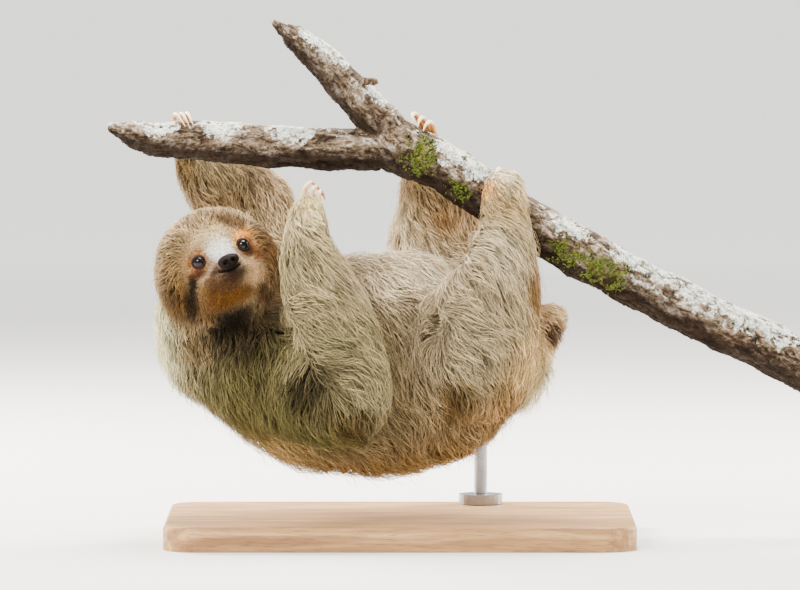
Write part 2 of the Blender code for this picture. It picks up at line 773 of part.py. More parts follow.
def build_stand():
    """A flange on the base, a post behind the sloth, and a short arm with a cup against the branch."""
    x, y = POST_PLACE
    flange_top = BASE_THICKNESS + GAP + FLANGE_HEIGHT
    post_foot = (x, y, flange_top + GAP)
    post_top = (x, y, POST_TOP + GAP)
    arm_axis = ((x, y - KNUCKLE_RADIUS - GAP, ARM_HEIGHT), (x, CUP_BACK + GAP, ARM_HEIGHT))
    knuckle_ends = ((x, y, ARM_HEIGHT - KNUCKLE_HALF_HEIGHT), (x, y, ARM_HEIGHT + KNUCKLE_HALF_HEIGHT))
    flange = rod("stand_flange", (x, y, BASE_THICKNESS + GAP), (x, y, flange_top), FLANGE_RADIUS, 28)
    post = rod("stand_post", post_foot, post_top, POST_RADIUS)
    knuckle = rod("stand_knuckle", *knuckle_ends, KNUCKLE_RADIUS, 20)
    knuckle = carved(knuckle, [rod("tool", post_foot, post_top, POST_RADIUS, grow=GAP)])
    cup = rod("stand_cup", (x, CUP_BACK, ARM_HEIGHT), (x, CUP_FRONT, ARM_HEIGHT), CUP_RADIUS, 20)
    cup = carved(cup, [perch_mesh("perch_main", GAP)])
    for name, mesh in (
        ("stand_flange", flange),
        ("stand_post", post),
        ("stand_knuckle", knuckle),
        ("stand_arm", rod("stand_arm", *arm_axis, ARM_RADIUS)),
        ("stand_cup", cup),
    ):
        add_object(name, mesh, "steel")


def main():
    clear_scene()
    build_perch()
    build_claws()
    build_flesh()
    build_head()
    build_base()
    build_stand()


main()
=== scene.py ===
"""A three-toed sloth hanging from a forked branch, on an oak and steel display stand.

One skin is made from the flesh solids and drawn in by the depth of the coat, tufts of hair are
grown over it along the lie of the coat, and the head gets its lids, eyes, nose and mouth.  The
branch gets bark, lichen and moss.  All lengths are in metres.
"""
import logging
import math
from dataclasses import dataclass, field
from enum import Enum
from typing import Any

import bmesh
import bpy
import numpy as np
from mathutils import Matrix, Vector


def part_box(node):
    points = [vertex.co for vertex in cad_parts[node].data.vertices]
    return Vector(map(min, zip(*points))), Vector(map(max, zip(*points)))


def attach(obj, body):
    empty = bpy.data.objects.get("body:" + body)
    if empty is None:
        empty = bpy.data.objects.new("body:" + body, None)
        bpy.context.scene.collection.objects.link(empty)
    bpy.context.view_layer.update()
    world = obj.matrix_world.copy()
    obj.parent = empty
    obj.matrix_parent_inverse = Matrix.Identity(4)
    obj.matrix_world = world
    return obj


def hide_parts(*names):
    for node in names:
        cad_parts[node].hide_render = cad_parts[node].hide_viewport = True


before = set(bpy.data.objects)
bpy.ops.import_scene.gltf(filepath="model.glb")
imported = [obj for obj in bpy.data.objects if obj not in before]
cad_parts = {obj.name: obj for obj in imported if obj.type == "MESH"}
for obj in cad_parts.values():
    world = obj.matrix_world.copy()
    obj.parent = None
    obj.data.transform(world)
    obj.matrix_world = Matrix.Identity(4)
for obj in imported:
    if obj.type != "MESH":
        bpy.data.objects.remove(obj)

LOG = logging.getLogger("sloth")
MM = 0.001
ROOT = "root"
COLOUR = "coat_colour"
NODES: dict[str, Any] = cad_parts
PATCH = 0.003  # side of the square of bake map that each tuft has to itself
NOISE_SPAN = {"From Min": 0.3, "From Max": 0.7}  # most of a noise's values lie in it
Array = np.ndarray
Triple = tuple[float, float, float]
Ball = tuple[float, float, float, float]  # a place and a radius, in millimetres
Table = dict[str, Array]


# ---- numbers and noise


def linear(code: str) -> tuple[float, ...]:
    """Turns an sRGB hex colour into linear red, green, blue and an alpha of one.

    Args:
        code: six hex digits.

    Returns:
        The linear colour that Blender's sockets and attributes take.
    """
    parts = np.array([int(code[i:i + 2], 16) for i in (0, 2, 4)]) / 255.0
    low = parts / 12.92
    high = ((parts + 0.055) / 1.055) ** 2.4
    return (*np.where(parts <= 0.04045, low, high).tolist(), 1.0)


def tint(code: str) -> Array:
    """Gives a hex colour as a linear array of three."""
    return np.array(linear(code)[:3])


def unit(vectors: Array) -> Array:
    """Divides each vector by its own length."""
    return vectors / np.maximum(np.linalg.norm(vectors, axis=-1, keepdims=True), 1e-12)


def norms(vectors: Array) -> Array:
    """Gives each vector's length."""
    return np.linalg.norm(vectors, axis=1)


def overlay(under: Array, over: Any, share: Array) -> Array:
    """Lays one value over another by a share from 0 to 1."""
    return under * (1 - share) + over * share


def bell(values: Array, width: float = 1.0, power: float = 2) -> Array:
    """Falls from 1 at nought towards 0, along exp(-(value / width)^power)."""
    return np.exp(-((values / width) ** power))


def ease(low: float, high: float, values: Array) -> Array:
    """Rises from 0 at low to 1 at high along 3t^2 - 2t^3."""
    t = np.clip((values - low) / (high - low), 0.0, 1.0)
    return t * t * (3.0 - 2.0 * t)


def lattice_noise(points: Array, seed: int) -> Array:
    """Smooth noise: a value for each corner of the unit cubes, eased between the corners.

    A corner's value comes from mixing its three whole numbers and the seed, so nothing is
    drawn at random.

    Args:
        points: N x 3 places, already divided by the size of a cube.
        seed: picks another pattern.

    Returns:
        N values from -1 to 1.
    """
    low = np.floor(points).astype(np.int64)
    t = points - low
    t = t * t * (3.0 - 2.0 * t)
    total = np.zeros(len(points))
    for corner in np.ndindex(2, 2, 2):
        key = low + corner
        mixed = key[:, 0] * 374761393 + key[:, 1] * 668265263 + key[:, 2] * 1442695041
        mixed = (mixed + seed * 974634777) & 0xFFFFFFFF
        mixed = ((mixed ^ (mixed >> 13)) * 1274126177) & 0xFFFFFFFF
        mixed = (mixed ^ (mixed >> 16)) & 0xFFFFFF
        weight = np.prod(np.where(np.array(corner) == 1, t, 1.0 - t), axis=1)
        total += weight * (mixed / 0x7FFFFF - 1.0)
    return total


def fractal_noise(points: Array, seed: int, octaves: int = 3) -> Array:
    """Sums lattice noise at doubling frequency and halving height."""
    return sum(lattice_noise(points * 2.0**k, seed + k) / 2.0**k for k in range(octaves))


def swirl(points: Array, size: float, seed: int) -> Array:
    """Gives three lattice noises at once, a smooth vector for each point."""
    return np.stack([lattice_noise(points / size, seed + 11 * k) for k in range(3)], axis=1)


# ---- meshes and nodes


def in_scene(name: str, data: Any) -> Any:
    """Links a new object that shows the data."""
    made = bpy.data.objects.new(name, data)
    bpy.context.scene.collection.objects.link(made)
    return made


def make_object(name: str, points: Array, faces: Array, slot: str = "") -> Any:
    """Puts points and faces into a new smooth mesh object, which rides on the body unless it is a helper.

    Args:
        name: the piece's name.
        points: N x 3 places in metres.
        faces: M x 3 or M x 4 corner numbers, turned outwards.
        slot: a label for the piece, or nothing for a helper; only whether one is given is read.

    Returns:
        The object, at the origin.
    """
    mesh = bpy.data.meshes.new(name)
    mesh.from_pydata(points.tolist(), [], faces.tolist())
    mesh.shade_smooth()
    made = in_scene(name, mesh)
    if slot:
        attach(made, ROOT)
    return made


def store(mesh: Any, name: str, values: Array) -> None:
    """Keeps an array on a mesh's points.

    Args:
        mesh: the mesh.
        name: what the array is called there.
        values: N x 3 vectors, or linear colours where the name is COLOUR.
    """
    if name == COLOUR:
        alpha = np.ones((len(values), 1))
        layer = mesh.attributes.new(name, "FLOAT_COLOR", "POINT")
        layer.data.foreach_set("color", np.hstack([np.clip(values, 0, 1), alpha]).ravel())
    else:
        mesh.attributes.new(name, "FLOAT_VECTOR", "POINT").data.foreach_set("vector", values.ravel())


def read(items: Any, key: str, width: int, kind: type = float) -> Array:
    """Reads one value of every item of a mesh.

    Args:
        items: its points, edges, triangles or an attribute's values.
        key: which value.
        width: how many numbers the value has.
        kind: the numbers' type.

    Returns:
        N x width numbers.
    """
    flat = np.empty(len(items) * width, kind)
    items.foreach_get(key, flat)
    return flat.reshape(-1, width)


def points_of(mesh: Any) -> Array:
    """Reads a mesh's points as N x 3."""
    return read(mesh.vertices, "co", 3)


def normals_of(mesh: Any) -> Array:
    """Reads a mesh's smooth normals as N x 3."""
    return read(mesh.vertex_normals, "vector", 3)


def edges_of(mesh: Any) -> Array:
    """Reads a mesh's edges as pairs of point numbers."""
    return read(mesh.edges, "vertices", 2, np.int32)


def triangles_of(mesh: Any) -> Array:
    """Reads a mesh's triangles as triples of point numbers."""
    mesh.calc_loop_triangles()
    return read(mesh.loop_triangles, "vertices", 3, np.int32)


def areas_of(corners: Array) -> Array:
    """Works out triangles' areas from their corners, N x 3 x 3."""
    return norms(np.cross(corners[:, 1] - corners[:, 0], corners[:, 2] - corners[:, 0])) / 2


def move_points(mesh: Any, points: Array) -> None:
    """Moves a mesh's points to new places."""
    mesh.vertices.foreach_set("co", points.ravel())
    mesh.update()


def as_vectors(numbers: Array) -> Array:
    """Makes each number the first value of a vector, as only vectors are sampled."""
    return np.stack([numbers, numbers * 0, numbers * 0], axis=1)


def turns(count: int) -> Array:
    """Gives evenly spaced angles round one full turn."""
    return 2 * np.pi * np.arange(count) / count


def spread(values: Array, edges: Array, rounds: int) -> Array:
    """Moves each point's value to the mean of its neighbours' values, round after round.

    Args:
        values: N x K values on the points.
        edges: pairs of point numbers.
        rounds: how many times.

    Returns:
        The spread values, N x K.
    """
    ends = np.concatenate([edges[:, 0], edges[:, 1]])
    others = np.concatenate([edges[:, 1], edges[:, 0]])
    count = np.maximum(np.bincount(ends, minlength=len(values)), 1)[:, None]
    for _ in range(rounds):
        columns = [np.bincount(ends, values[others, k], len(values)) for k in range(values.shape[1])]
        values = np.stack(columns, axis=1) / count
    return values


def grid_faces(rows: int, columns: int) -> Array:
    """Joins rings of points with quads.

    Args:
        rows: how many rings.
        columns: points in each ring.

    Returns:
        M x 4 corner numbers.
    """
    row, column = np.meshgrid(np.arange(rows - 1), np.arange(columns), indexing="ij")
    after = (column + 1) % columns
    quads = [row * columns + column, row * columns + after]
    quads += [(row + 1) * columns + after, (row + 1) * columns + column]
    return np.stack([q.ravel() for q in quads], axis=1)


def cap_faces(start: int, columns: int, tip: int, turned: bool = False) -> Array:
    """Joins a ring of points to one tip point with triangles.

    Args:
        start: the number of the ring's first point.
        columns: points in the ring.
        tip: the number of the tip point.
        turned: whether the triangles face the other way.

    Returns:
        N x 3 corner numbers.
    """
    step = np.arange(columns)
    ends = [start + step, start + (step + 1) % columns]
    return np.stack([*(ends[::-1] if turned else ends), np.full(columns, tip)], axis=1)


def split_quads(quads: Array) -> Array:
    """Cuts each quad into two triangles."""
    return np.concatenate([quads[:, [0, 1, 2]], quads[:, [0, 2, 3]]])


def add_modifier(piece: Any, kind: str, **settings: Any) -> Any:
    """Adds one modifier with its settings.

    Args:
        piece: the object that gets it.
        kind: the modifier's Blender type.
        settings: the modifier's own settings.

    Returns:
        The modifier.
    """
    modifier = piece.modifiers.new(kind.lower(), kind)
    for name, value in settings.items():
        setattr(modifier, name, value)
    return modifier


def with_modifier(source: Any, kind: str, **settings: Any) -> Any:
    """Applies one modifier to a copy of an object's mesh.

    Args:
        source: the object, which is left without the modifier.
        kind: the modifier's Blender type.
        settings: the modifier's own settings.

    Returns:
        The new mesh.
    """
    modifier = add_modifier(source, kind, **settings)
    bpy.context.view_layer.update()
    seen = source.evaluated_get(bpy.context.evaluated_depsgraph_get())
    mesh = bpy.data.meshes.new_from_object(seen)
    source.modifiers.remove(modifier)
    return mesh


def node(tree: Any, kind: str, links: dict[Any, Any] | None = None, **settings: Any) -> Any:
    """Adds a node with its settings and links.

    Args:
        tree: the node tree.
        kind: the node's Blender type, where a leading ShaderNode may be left out.
        links: for each input, by name or number, another node (for its first output), another
            node's output or a plain value.
        settings: the node's own settings; stops gives a colour ramp its places and hex colours.

    Returns:
        The node.
    """
    made = tree.nodes.new(kind if "Node" in kind else f"ShaderNode{kind}")
    stops = settings.pop("stops", ())
    for name, value in settings.items():
        setattr(made, name, value)
    for place, value in (links or {}).items():
        if isinstance(value, bpy.types.Node):
            value = value.outputs[0]
        if isinstance(value, bpy.types.NodeSocket):
            tree.links.new(value, made.inputs[place])
        else:
            made.inputs[place].default_value = value
    for number, (place, colour) in enumerate(stops):
        elements = made.color_ramp.elements
        element = elements[number] if number < 2 else elements.new(place)
        element.position = place
        element.color = linear(colour)
    return made


def new_material(name: str) -> tuple[Any, Any, Any]:
    """Makes an empty material.

    Args:
        name: the material's name.

    Returns:
        The material, its node tree and the output that gives a point's place on the object.
    """
    material = bpy.data.materials.new(name)
    material.use_nodes = True
    tree = material.node_tree
    tree.nodes.clear()
    return material, tree, node(tree, "TexCoord").outputs["Object"]


def surfaced(material: Any, links: dict[str, Any]) -> Any:
    """Gives a material its surface.

    Args:
        material: the material, with the nodes that the surface takes.
        links: for each of the surface's inputs a node, an output or a plain value.

    Returns:
        The material.
    """
    shader = node(material.node_tree, "BsdfPrincipled", links)
    node(material.node_tree, "OutputMaterial", {"Surface": shader})
    return material


def dress(piece: Any, material: Any) -> None:
    """Gives a piece one material in every slot.

    Args:
        piece: the object.
        material: the material.
    """
    if not piece.material_slots:
        piece.data.materials.append(material)
    for place in piece.material_slots:
        place.material = material


# ---- finishes


@dataclass(frozen=True)
class HairFinish:
    """Sloth hair: coarse, dry keratin shafts that scatter a soft light with no shine.

    The colour comes from the markings kept on the mesh, broken up along the shafts.

    Attributes:
        name: the material's name.
        shade: how dark the pattern's dark end is.
        roughness: the shader's roughness.
        shaft: the breadth of a streak.  A hair of about 0.3 mm is too fine to show, so a streak
            is drawn as broad as a lock of them.
    """

    name: str = "sloth_hair"
    shade: float = 0.72
    roughness: float = 0.62
    shaft: float = 1.2 * MM

    def build(self) -> Any:
        """Makes the material: markings times a streak noise, with the streaks as bump.

        Returns:
            The material.
        """
        material, tree, place = new_material(self.name)
        marking = node(tree, "Attribute", attribute_name=COLOUR)
        fine = node(tree, "TexNoise", {"Vector": place, "Scale": 1 / self.shaft, "Detail": 3.0})
        broad = node(tree, "TexNoise", {"Vector": place, "Scale": 1 / (14 * MM)})
        level = node(tree, "MapRange", {"Value": fine, **NOISE_SPAN, "To Min": self.shade, "To Max": 1.12})
        patch = node(tree, "MapRange", {"Value": broad, **NOISE_SPAN, "To Min": 0.86, "To Max": 1.1})
        both = node(tree, "Math", {0: level, 1: patch}, operation="MULTIPLY")
        colour = node(tree, "VectorMath", {0: marking.outputs["Color"], "Scale": both}, operation="SCALE")
        bump = node(tree, "Bump", {"Height": fine, "Strength": 0.35, "Distance": 0.3 * MM})
        rough = node(tree, "MapRange", {
            "Value": fine, "To Min": self.roughness - 0.1, "To Max": self.roughness + 0.12})
        return surfaced(material, {
            "Base Color": colour, "Roughness": rough, "Normal": bump,
            "Specular IOR Level": 0.1})


@dataclass(frozen=True)
class MoistSkinFinish:
    """Bare moist skin of lids, nose and lips: dark, finely pebbled, with a soft wet gleam.

    Attributes:
        name: the material's name.
        dark: its colour in the furrows.
        light: its colour on the pebbles.
        pebble: the breadth of a pebble.
        roughness: the shader's roughness.
        wet: how strongly it mirrors light, 0.5 being usual.
    """

    name: str
    dark: str
    light: str
    pebble: float = 0.7 * MM
    roughness: float = 0.42
    wet: float = 0.25

    def build(self) -> Any:
        """Makes the material: voronoi pebbles tint and raise the skin, noise blotches it.

        Returns:
            The material.
        """
        material, tree, place = new_material(self.name)
        pebbles = node(tree, "TexVoronoi", {"Vector": place, "Scale": 1 / self.pebble})
        blotch = node(tree, "TexNoise", {"Vector": place, "Scale": 1 / (4 * MM), "Detail": 4.0})
        mixed = node(tree, "Math", {0: pebbles, 1: blotch}, operation="MULTIPLY")
        colour = node(tree, "ValToRGB", {0: mixed}, stops=((0.05, self.light), (0.45, self.dark)))
        rough = node(tree, "MapRange", {
            "Value": blotch, "To Min": self.roughness - 0.1, "To Max": self.roughness + 0.15})
        bump = node(tree, "Bump", {"Height": pebbles, "Strength": 0.5, "Distance": 0.25 * MM}, invert=True)
        return surfaced(material, {
            "Base Color": colour, "Roughness": rough, "Normal": bump,
            "Specular IOR Level": self.wet})


@dataclass(frozen=True)
class CorneaFinish:
    """A wet eye: the iris shows through a clear, mirror-smooth cornea.

    Attributes:
        name: the material's name.
        roughness: the shader's roughness.
        ior: that of the cornea.
    """

    name: str = "wet_cornea"
    roughness: float = 0.08
    ior: float = 1.376

    def build(self) -> Any:
        """Makes the material: ring colours from the mesh, threaded by a fine radial noise.

        Returns:
            The material.
        """
        material, tree, place = new_material(self.name)
        rings = node(tree, "Attribute", attribute_name=COLOUR)
        threads = node(tree, "TexNoise", {"Vector": place, "Scale": 1 / (0.5 * MM), "Detail": 3.0})
        level = node(tree, "MapRange", {"Value": threads, **NOISE_SPAN, "To Min": 0.7, "To Max": 1.35})
        colour = node(tree, "VectorMath", {0: rings.outputs["Color"], "Scale": level}, operation="SCALE")
        film = node(tree, "MapRange", {
            "Value": threads, "To Min": self.roughness - 0.03, "To Max": self.roughness + 0.05})
        return surfaced(material, {
            "Base Color": colour, "Roughness": film, "IOR": self.ior,
            "Specular IOR Level": 0.4})


@dataclass(frozen=True)
class HornFinish:
    """Claw horn: pale keratin laid down in long fibres, waxy; painted shade turns faces that look down
    yellower.

    Attributes:
        name: the material's name.
        pale: the worn outer horn.
        deep: the yellow-brown horn between the fibres.
        fibre: the breadth of a fibre, drawn coarser than the real 0.1 mm so that it shows.
    """

    name: str = "claw_horn"
    pale: str = "ead2a6"
    deep: str = "bd7c3c"
    fibre: float = 0.9 * MM

    def build(self) -> Any:
        """Makes the material: noise drawn out along the claw tints and scores it.

        Returns:
            The material.
        """
        material, tree, place = new_material(self.name)
        drawn = node(tree, "Mapping", {"Vector": place, "Scale": (1.0, 0.35, 0.35)})
        fibres = node(tree, "TexNoise", {"Vector": drawn, "Scale": 1 / self.fibre, "Detail": 4.0})
        cloud = node(tree, "TexNoise", {"Vector": place, "Scale": 1 / (7 * MM)})
        facing = node(tree, "NewGeometry")
        height = node(tree, "SeparateXYZ", {0: facing.outputs["Normal"]})
        # Painted shade: the faces that look down take more of the deep yellow-brown.
        under = node(tree, "MapRange", {
            "Value": height.outputs["Z"], "From Min": -0.6, "From Max": 0.5, "To Min": 0.45, "To Max": 0.0})
        half = node(tree, "Math", {0: fibres, 1: cloud}, operation="MULTIPLY")
        full = node(tree, "Math", {0: half, 1: under}, operation="ADD")
        colour = node(tree, "ValToRGB", {0: full}, stops=((0.18, self.pale), (0.62, self.deep)))
        rough = node(tree, "MapRange", {"Value": fibres, "To Min": 0.3, "To Max": 0.6})
        bump = node(tree, "Bump", {"Height": fibres, "Strength": 0.4, "Distance": 0.25 * MM})
        return surfaced(material, {
            "Base Color": colour, "Roughness": rough, "Normal": bump,
            "Subsurface Weight": 0.08, "Subsurface Scale": 1.5 * MM})


@dataclass(frozen=True)
class BarkFinish:
    """Weathered bark: flaking pink-grey plates with dark cracks, under a crust of lichen.

    The pattern reads the piece's own straightened branch coordinates, so the grain runs along
    each limb, and the relief kept on the mesh, so worn plates are pale and cracks are dark, by
    their own darker colour and by painted shade in the recess; the underside gets painted shade too.

    Attributes:
        name: the material's name.
        flake: the breadth of a flake of bark.
        stretch: how much longer than broad a flake is.
        lichen: the breadth of a lichen crust.
    """

    name: str = "weathered_bark"
    flake: float = 4.5 * MM
    stretch: float = 2.2
    lichen: float = 9 * MM

    def build(self) -> Any:
        """Makes the material: ramps for bark, lichen and moss, mixed by noises and masks.

        Returns:
            The material.
        """
        material, tree, place = new_material(self.name)
        grain = node(tree, "Attribute", attribute_name="grain").outputs["Vector"]
        masks = node(tree, "Attribute", attribute_name="masks").outputs["Vector"]
        split = node(tree, "SeparateXYZ", {0: masks})
        relief = node(tree, "Attribute", attribute_name="relief").outputs["Vector"]
        layer = node(tree, "SeparateXYZ", {0: relief})
        long = node(tree, "Mapping", {"Vector": grain, "Scale": (1.0, 1.0, 1.0 / self.stretch)})
        flakes = node(tree, "TexNoise", {
            "Vector": long, "Scale": 1 / self.flake, "Detail": 8.0, "Roughness": 0.7, "Distortion": 0.8})
        worn = node(tree, "Math", {0: layer.outputs["X"], 1: flakes}, operation="ADD")
        bark = node(tree, "ValToRGB", {0: worn}, stops=(
            (0.37, "1a110a"), (0.75, "cbbbaa"),
            (0.47, "493829"), (0.59, "7d6a55")))
        crust = node(tree, "TexNoise", {
            "Vector": place, "Scale": 1 / self.lichen, "Detail": 8.0, "Roughness": 0.72})
        wanted = node(tree, "Math", {0: crust, 1: split.outputs["X"]}, operation="ADD")
        edge = node(tree, "MapRange", {"Value": wanted, "From Min": 0.88, "From Max": 0.92, "To Max": 0.96})
        rosette = node(tree, "TexNoise", {
            "Vector": place, "Scale": 1 / (2.4 * MM), "Detail": 5.0, "Roughness": 0.7})
        white = node(tree, "ValToRGB", {0: rosette}, stops=(
            (0.34, "8f8c7c"), (0.62, "f2f3ea"), (0.46, "d5d8ca")))
        pale = node(tree, "Mix", {0: edge, 6: bark, 7: white}, data_type="RGBA")
        fuzz = node(tree, "TexNoise", {"Vector": place, "Scale": 1 / (2.5 * MM), "Detail": 5.0})
        growth = node(tree, "Math", {0: fuzz, 1: split.outputs["Y"]}, operation="ADD")
        spot = node(tree, "MapRange", {"Value": growth, "From Min": 0.98, "From Max": 1.12})
        green = node(tree, "ValToRGB", {0: fuzz}, stops=((0.38, "1d1f08"), (0.7, "83892a")))
        mossy = node(tree, "Mix", {0: spot, 6: pale.outputs[2], 7: green}, data_type="RGBA")
        # Painted shade: the masks' third value darkens the underside towards dark brown.
        under = node(tree, "Mix", {
            0: split.outputs["Z"], 6: mossy.outputs[2], 7: linear("1e1107")}, data_type="RGBA")
        # Painted shade and the cracks' own darker colour: the deeper the crack, the darker the bark.
        crack_shade = node(tree, "MapRange", {"Value": layer.outputs["Y"], "To Min": 1.0, "To Max": 0.14})
        final = node(tree, "VectorMath", {0: under.outputs[2], "Scale": crack_shade}, operation="SCALE")
        rough = node(tree, "MapRange", {"Value": flakes, "To Min": 0.7})
        coarse = node(tree, "Bump", {"Height": flakes, "Strength": 1.0, "Distance": 1.8 * MM})
        scurf = node(tree, "Bump", {
            "Height": rosette, "Strength": 0.6, "Distance": 0.7 * MM, "Normal": coarse})
        return surfaced(material, {
            "Base Color": final, "Roughness": rough, "Normal": scurf,
            "Specular IOR Level": 0.15})


@dataclass(frozen=True)
class OakFinish:
    """Oiled oak: a warm plank with long growth lines, open pores and a low satin sheen.

    Attributes:
        name: the material's name.
        ring: the breadth of a growth line.
        pore: the breadth of an open pore, drawn coarser than the real 0.3 mm so that it shows.
    """

    name: str = "oiled_oak"
    ring: float = 6 * MM
    pore: float = 0.8 * MM

    def build(self) -> Any:
        """Makes the material: wavy bands along X for the rings, drawn-out noise for the pores.

        Returns:
            The material.
        """
        material, tree, place = new_material(self.name)
        plank = node(tree, "Mapping", {"Vector": place, "Scale": (0.06, 1.0, 1.0)})
        rings = node(tree, "TexNoise", {
            "Vector": plank, "Scale": 1 / self.ring, "Detail": 5.0, "Distortion": 0.6})
        grain = node(tree, "Mapping", {"Vector": place, "Scale": (0.05, 1.0, 1.0)})
        pores = node(tree, "TexNoise", {"Vector": grain, "Scale": 1 / self.pore})
        wood = node(tree, "ValToRGB", {0: rings}, stops=(
            (0.32, "8d6238"), (0.68, "c79c67"), (0.5, "ab7d4b")))
        open_pores = node(tree, "MapRange", {
            "Value": pores, "From Min": 0.34, "From Max": 0.45, "To Min": 0.6})
        colour = node(tree, "VectorMath", {0: wood, "Scale": open_pores}, operation="SCALE")
        rough = node(tree, "MapRange", {"Value": rings, "To Min": 0.38, "To Max": 0.6})
        bump = node(tree, "Bump", {"Height": pores, "Strength": 0.25, "Distance": 0.2 * MM})
        return surfaced(material, {"Base Color": colour, "Roughness": rough, "Normal": bump})


@dataclass(frozen=True)
class SteelFinish:
    """Satin stainless steel: turned and brushed, so a soft highlight runs round the rods.

    Attributes:
        name: the material's name.
        grit: the breadth of a brush line, drawn coarser than the real 0.05 mm so that it shows.
    """

    name: str = "satin_steel"
    grit: float = 0.5 * MM

    def build(self) -> Any:
        """Makes the material: brush lines vary roughness and height, faint handling dulls it.

        Returns:
            The material.
        """
        material, tree, place = new_material(self.name)
        turned = node(tree, "Mapping", {"Vector": place, "Scale": (0.1, 0.1, 1.0)})
        lines = node(tree, "TexNoise", {"Vector": turned, "Scale": 1 / self.grit})
        hands = node(tree, "TexNoise", {"Vector": place, "Scale": 1 / (18 * MM), "Detail": 3.0})
        colour = node(tree, "ValToRGB", {0: hands}, stops=((0.3, "8d8f92"), (0.7, "b4b6b8")))
        both = node(tree, "Math", {0: lines, 1: hands}, operation="ADD")
        rough = node(tree, "MapRange", {
            "Value": both, "From Min": 0.6, "From Max": 1.4, "To Min": 0.24, "To Max": 0.42})
        bump = node(tree, "Bump", {"Height": lines, "Strength": 0.12, "Distance": 0.1 * MM})
        return surfaced(material, {
            "Metallic": 1.0, "Base Color": colour, "Roughness": rough,
            "Normal": bump})


@dataclass(frozen=True)
class MossFinish:
    """Cushion moss: tiny yellow-green leaves, dry and dull, with painted shade in the depth of the cushion.

    Attributes:
        name: the material's name.
        leaf: the breadth of a leaf.
    """

    name: str = "cushion_moss"
    leaf: float = 1 * MM

    def build(self) -> Any:
        """Makes the material: the mesh's own green, varied leaf by leaf with noise.

        Returns:
            The material.
        """
        material, tree, place = new_material(self.name)
        green = node(tree, "Attribute", attribute_name=COLOUR)
        leaves = node(tree, "TexNoise", {"Vector": place, "Scale": 1 / self.leaf})
        level = node(tree, "MapRange", {"Value": leaves, **NOISE_SPAN, "To Min": 0.6, "To Max": 1.3})
        colour = node(tree, "VectorMath", {0: green.outputs["Color"], "Scale": level}, operation="SCALE")
        bump = node(tree, "Bump", {"Height": leaves, "Strength": 0.4, "Distance": 0.3 * MM})
        rough = node(tree, "MapRange", {"Value": leaves, "To Min": 0.7, "To Max": 0.95})
        return surfaced(material, {"Base Color": colour, "Roughness": rough, "Normal": bump})


@dataclass(frozen=True)
class PaperFinish:
    """Matt studio paper: faintly cloudy, with a glow that keeps it pale far from the lamps.

    Attributes:
        name: the material's name.
        cloud: the breadth of a cloudy patch.
        glow: the paper's own light far from the lamps.
    """

    name: str = "matt_paper"
    cloud: float = 50 * MM / 3
    glow: float = 1.6

    def build(self) -> Any:
        """Makes the material: a soft noise clouds it, and the distance brings in the glow.

        Returns:
            The material.
        """
        material, tree, place = new_material(self.name)
        clouds = node(tree, "TexNoise", {"Vector": place, "Scale": 1 / self.cloud})
        colour = node(tree, "ValToRGB", {0: clouds}, stops=((0.3, "d9d8d4"), (0.7, "dddcd8")))
        far = node(tree, "VectorMath", {0: place}, operation="LENGTH").outputs["Value"]
        glow = node(tree, "MapRange", {"Value": far, "From Min": 0.4, "From Max": 5.0, "To Max": self.glow})
        return surfaced(material, {
            "Base Color": colour, "Emission Color": colour, "Emission Strength": glow, "Roughness": 0.9,
            "Specular IOR Level": 0.1})


# ---- the head's own frame


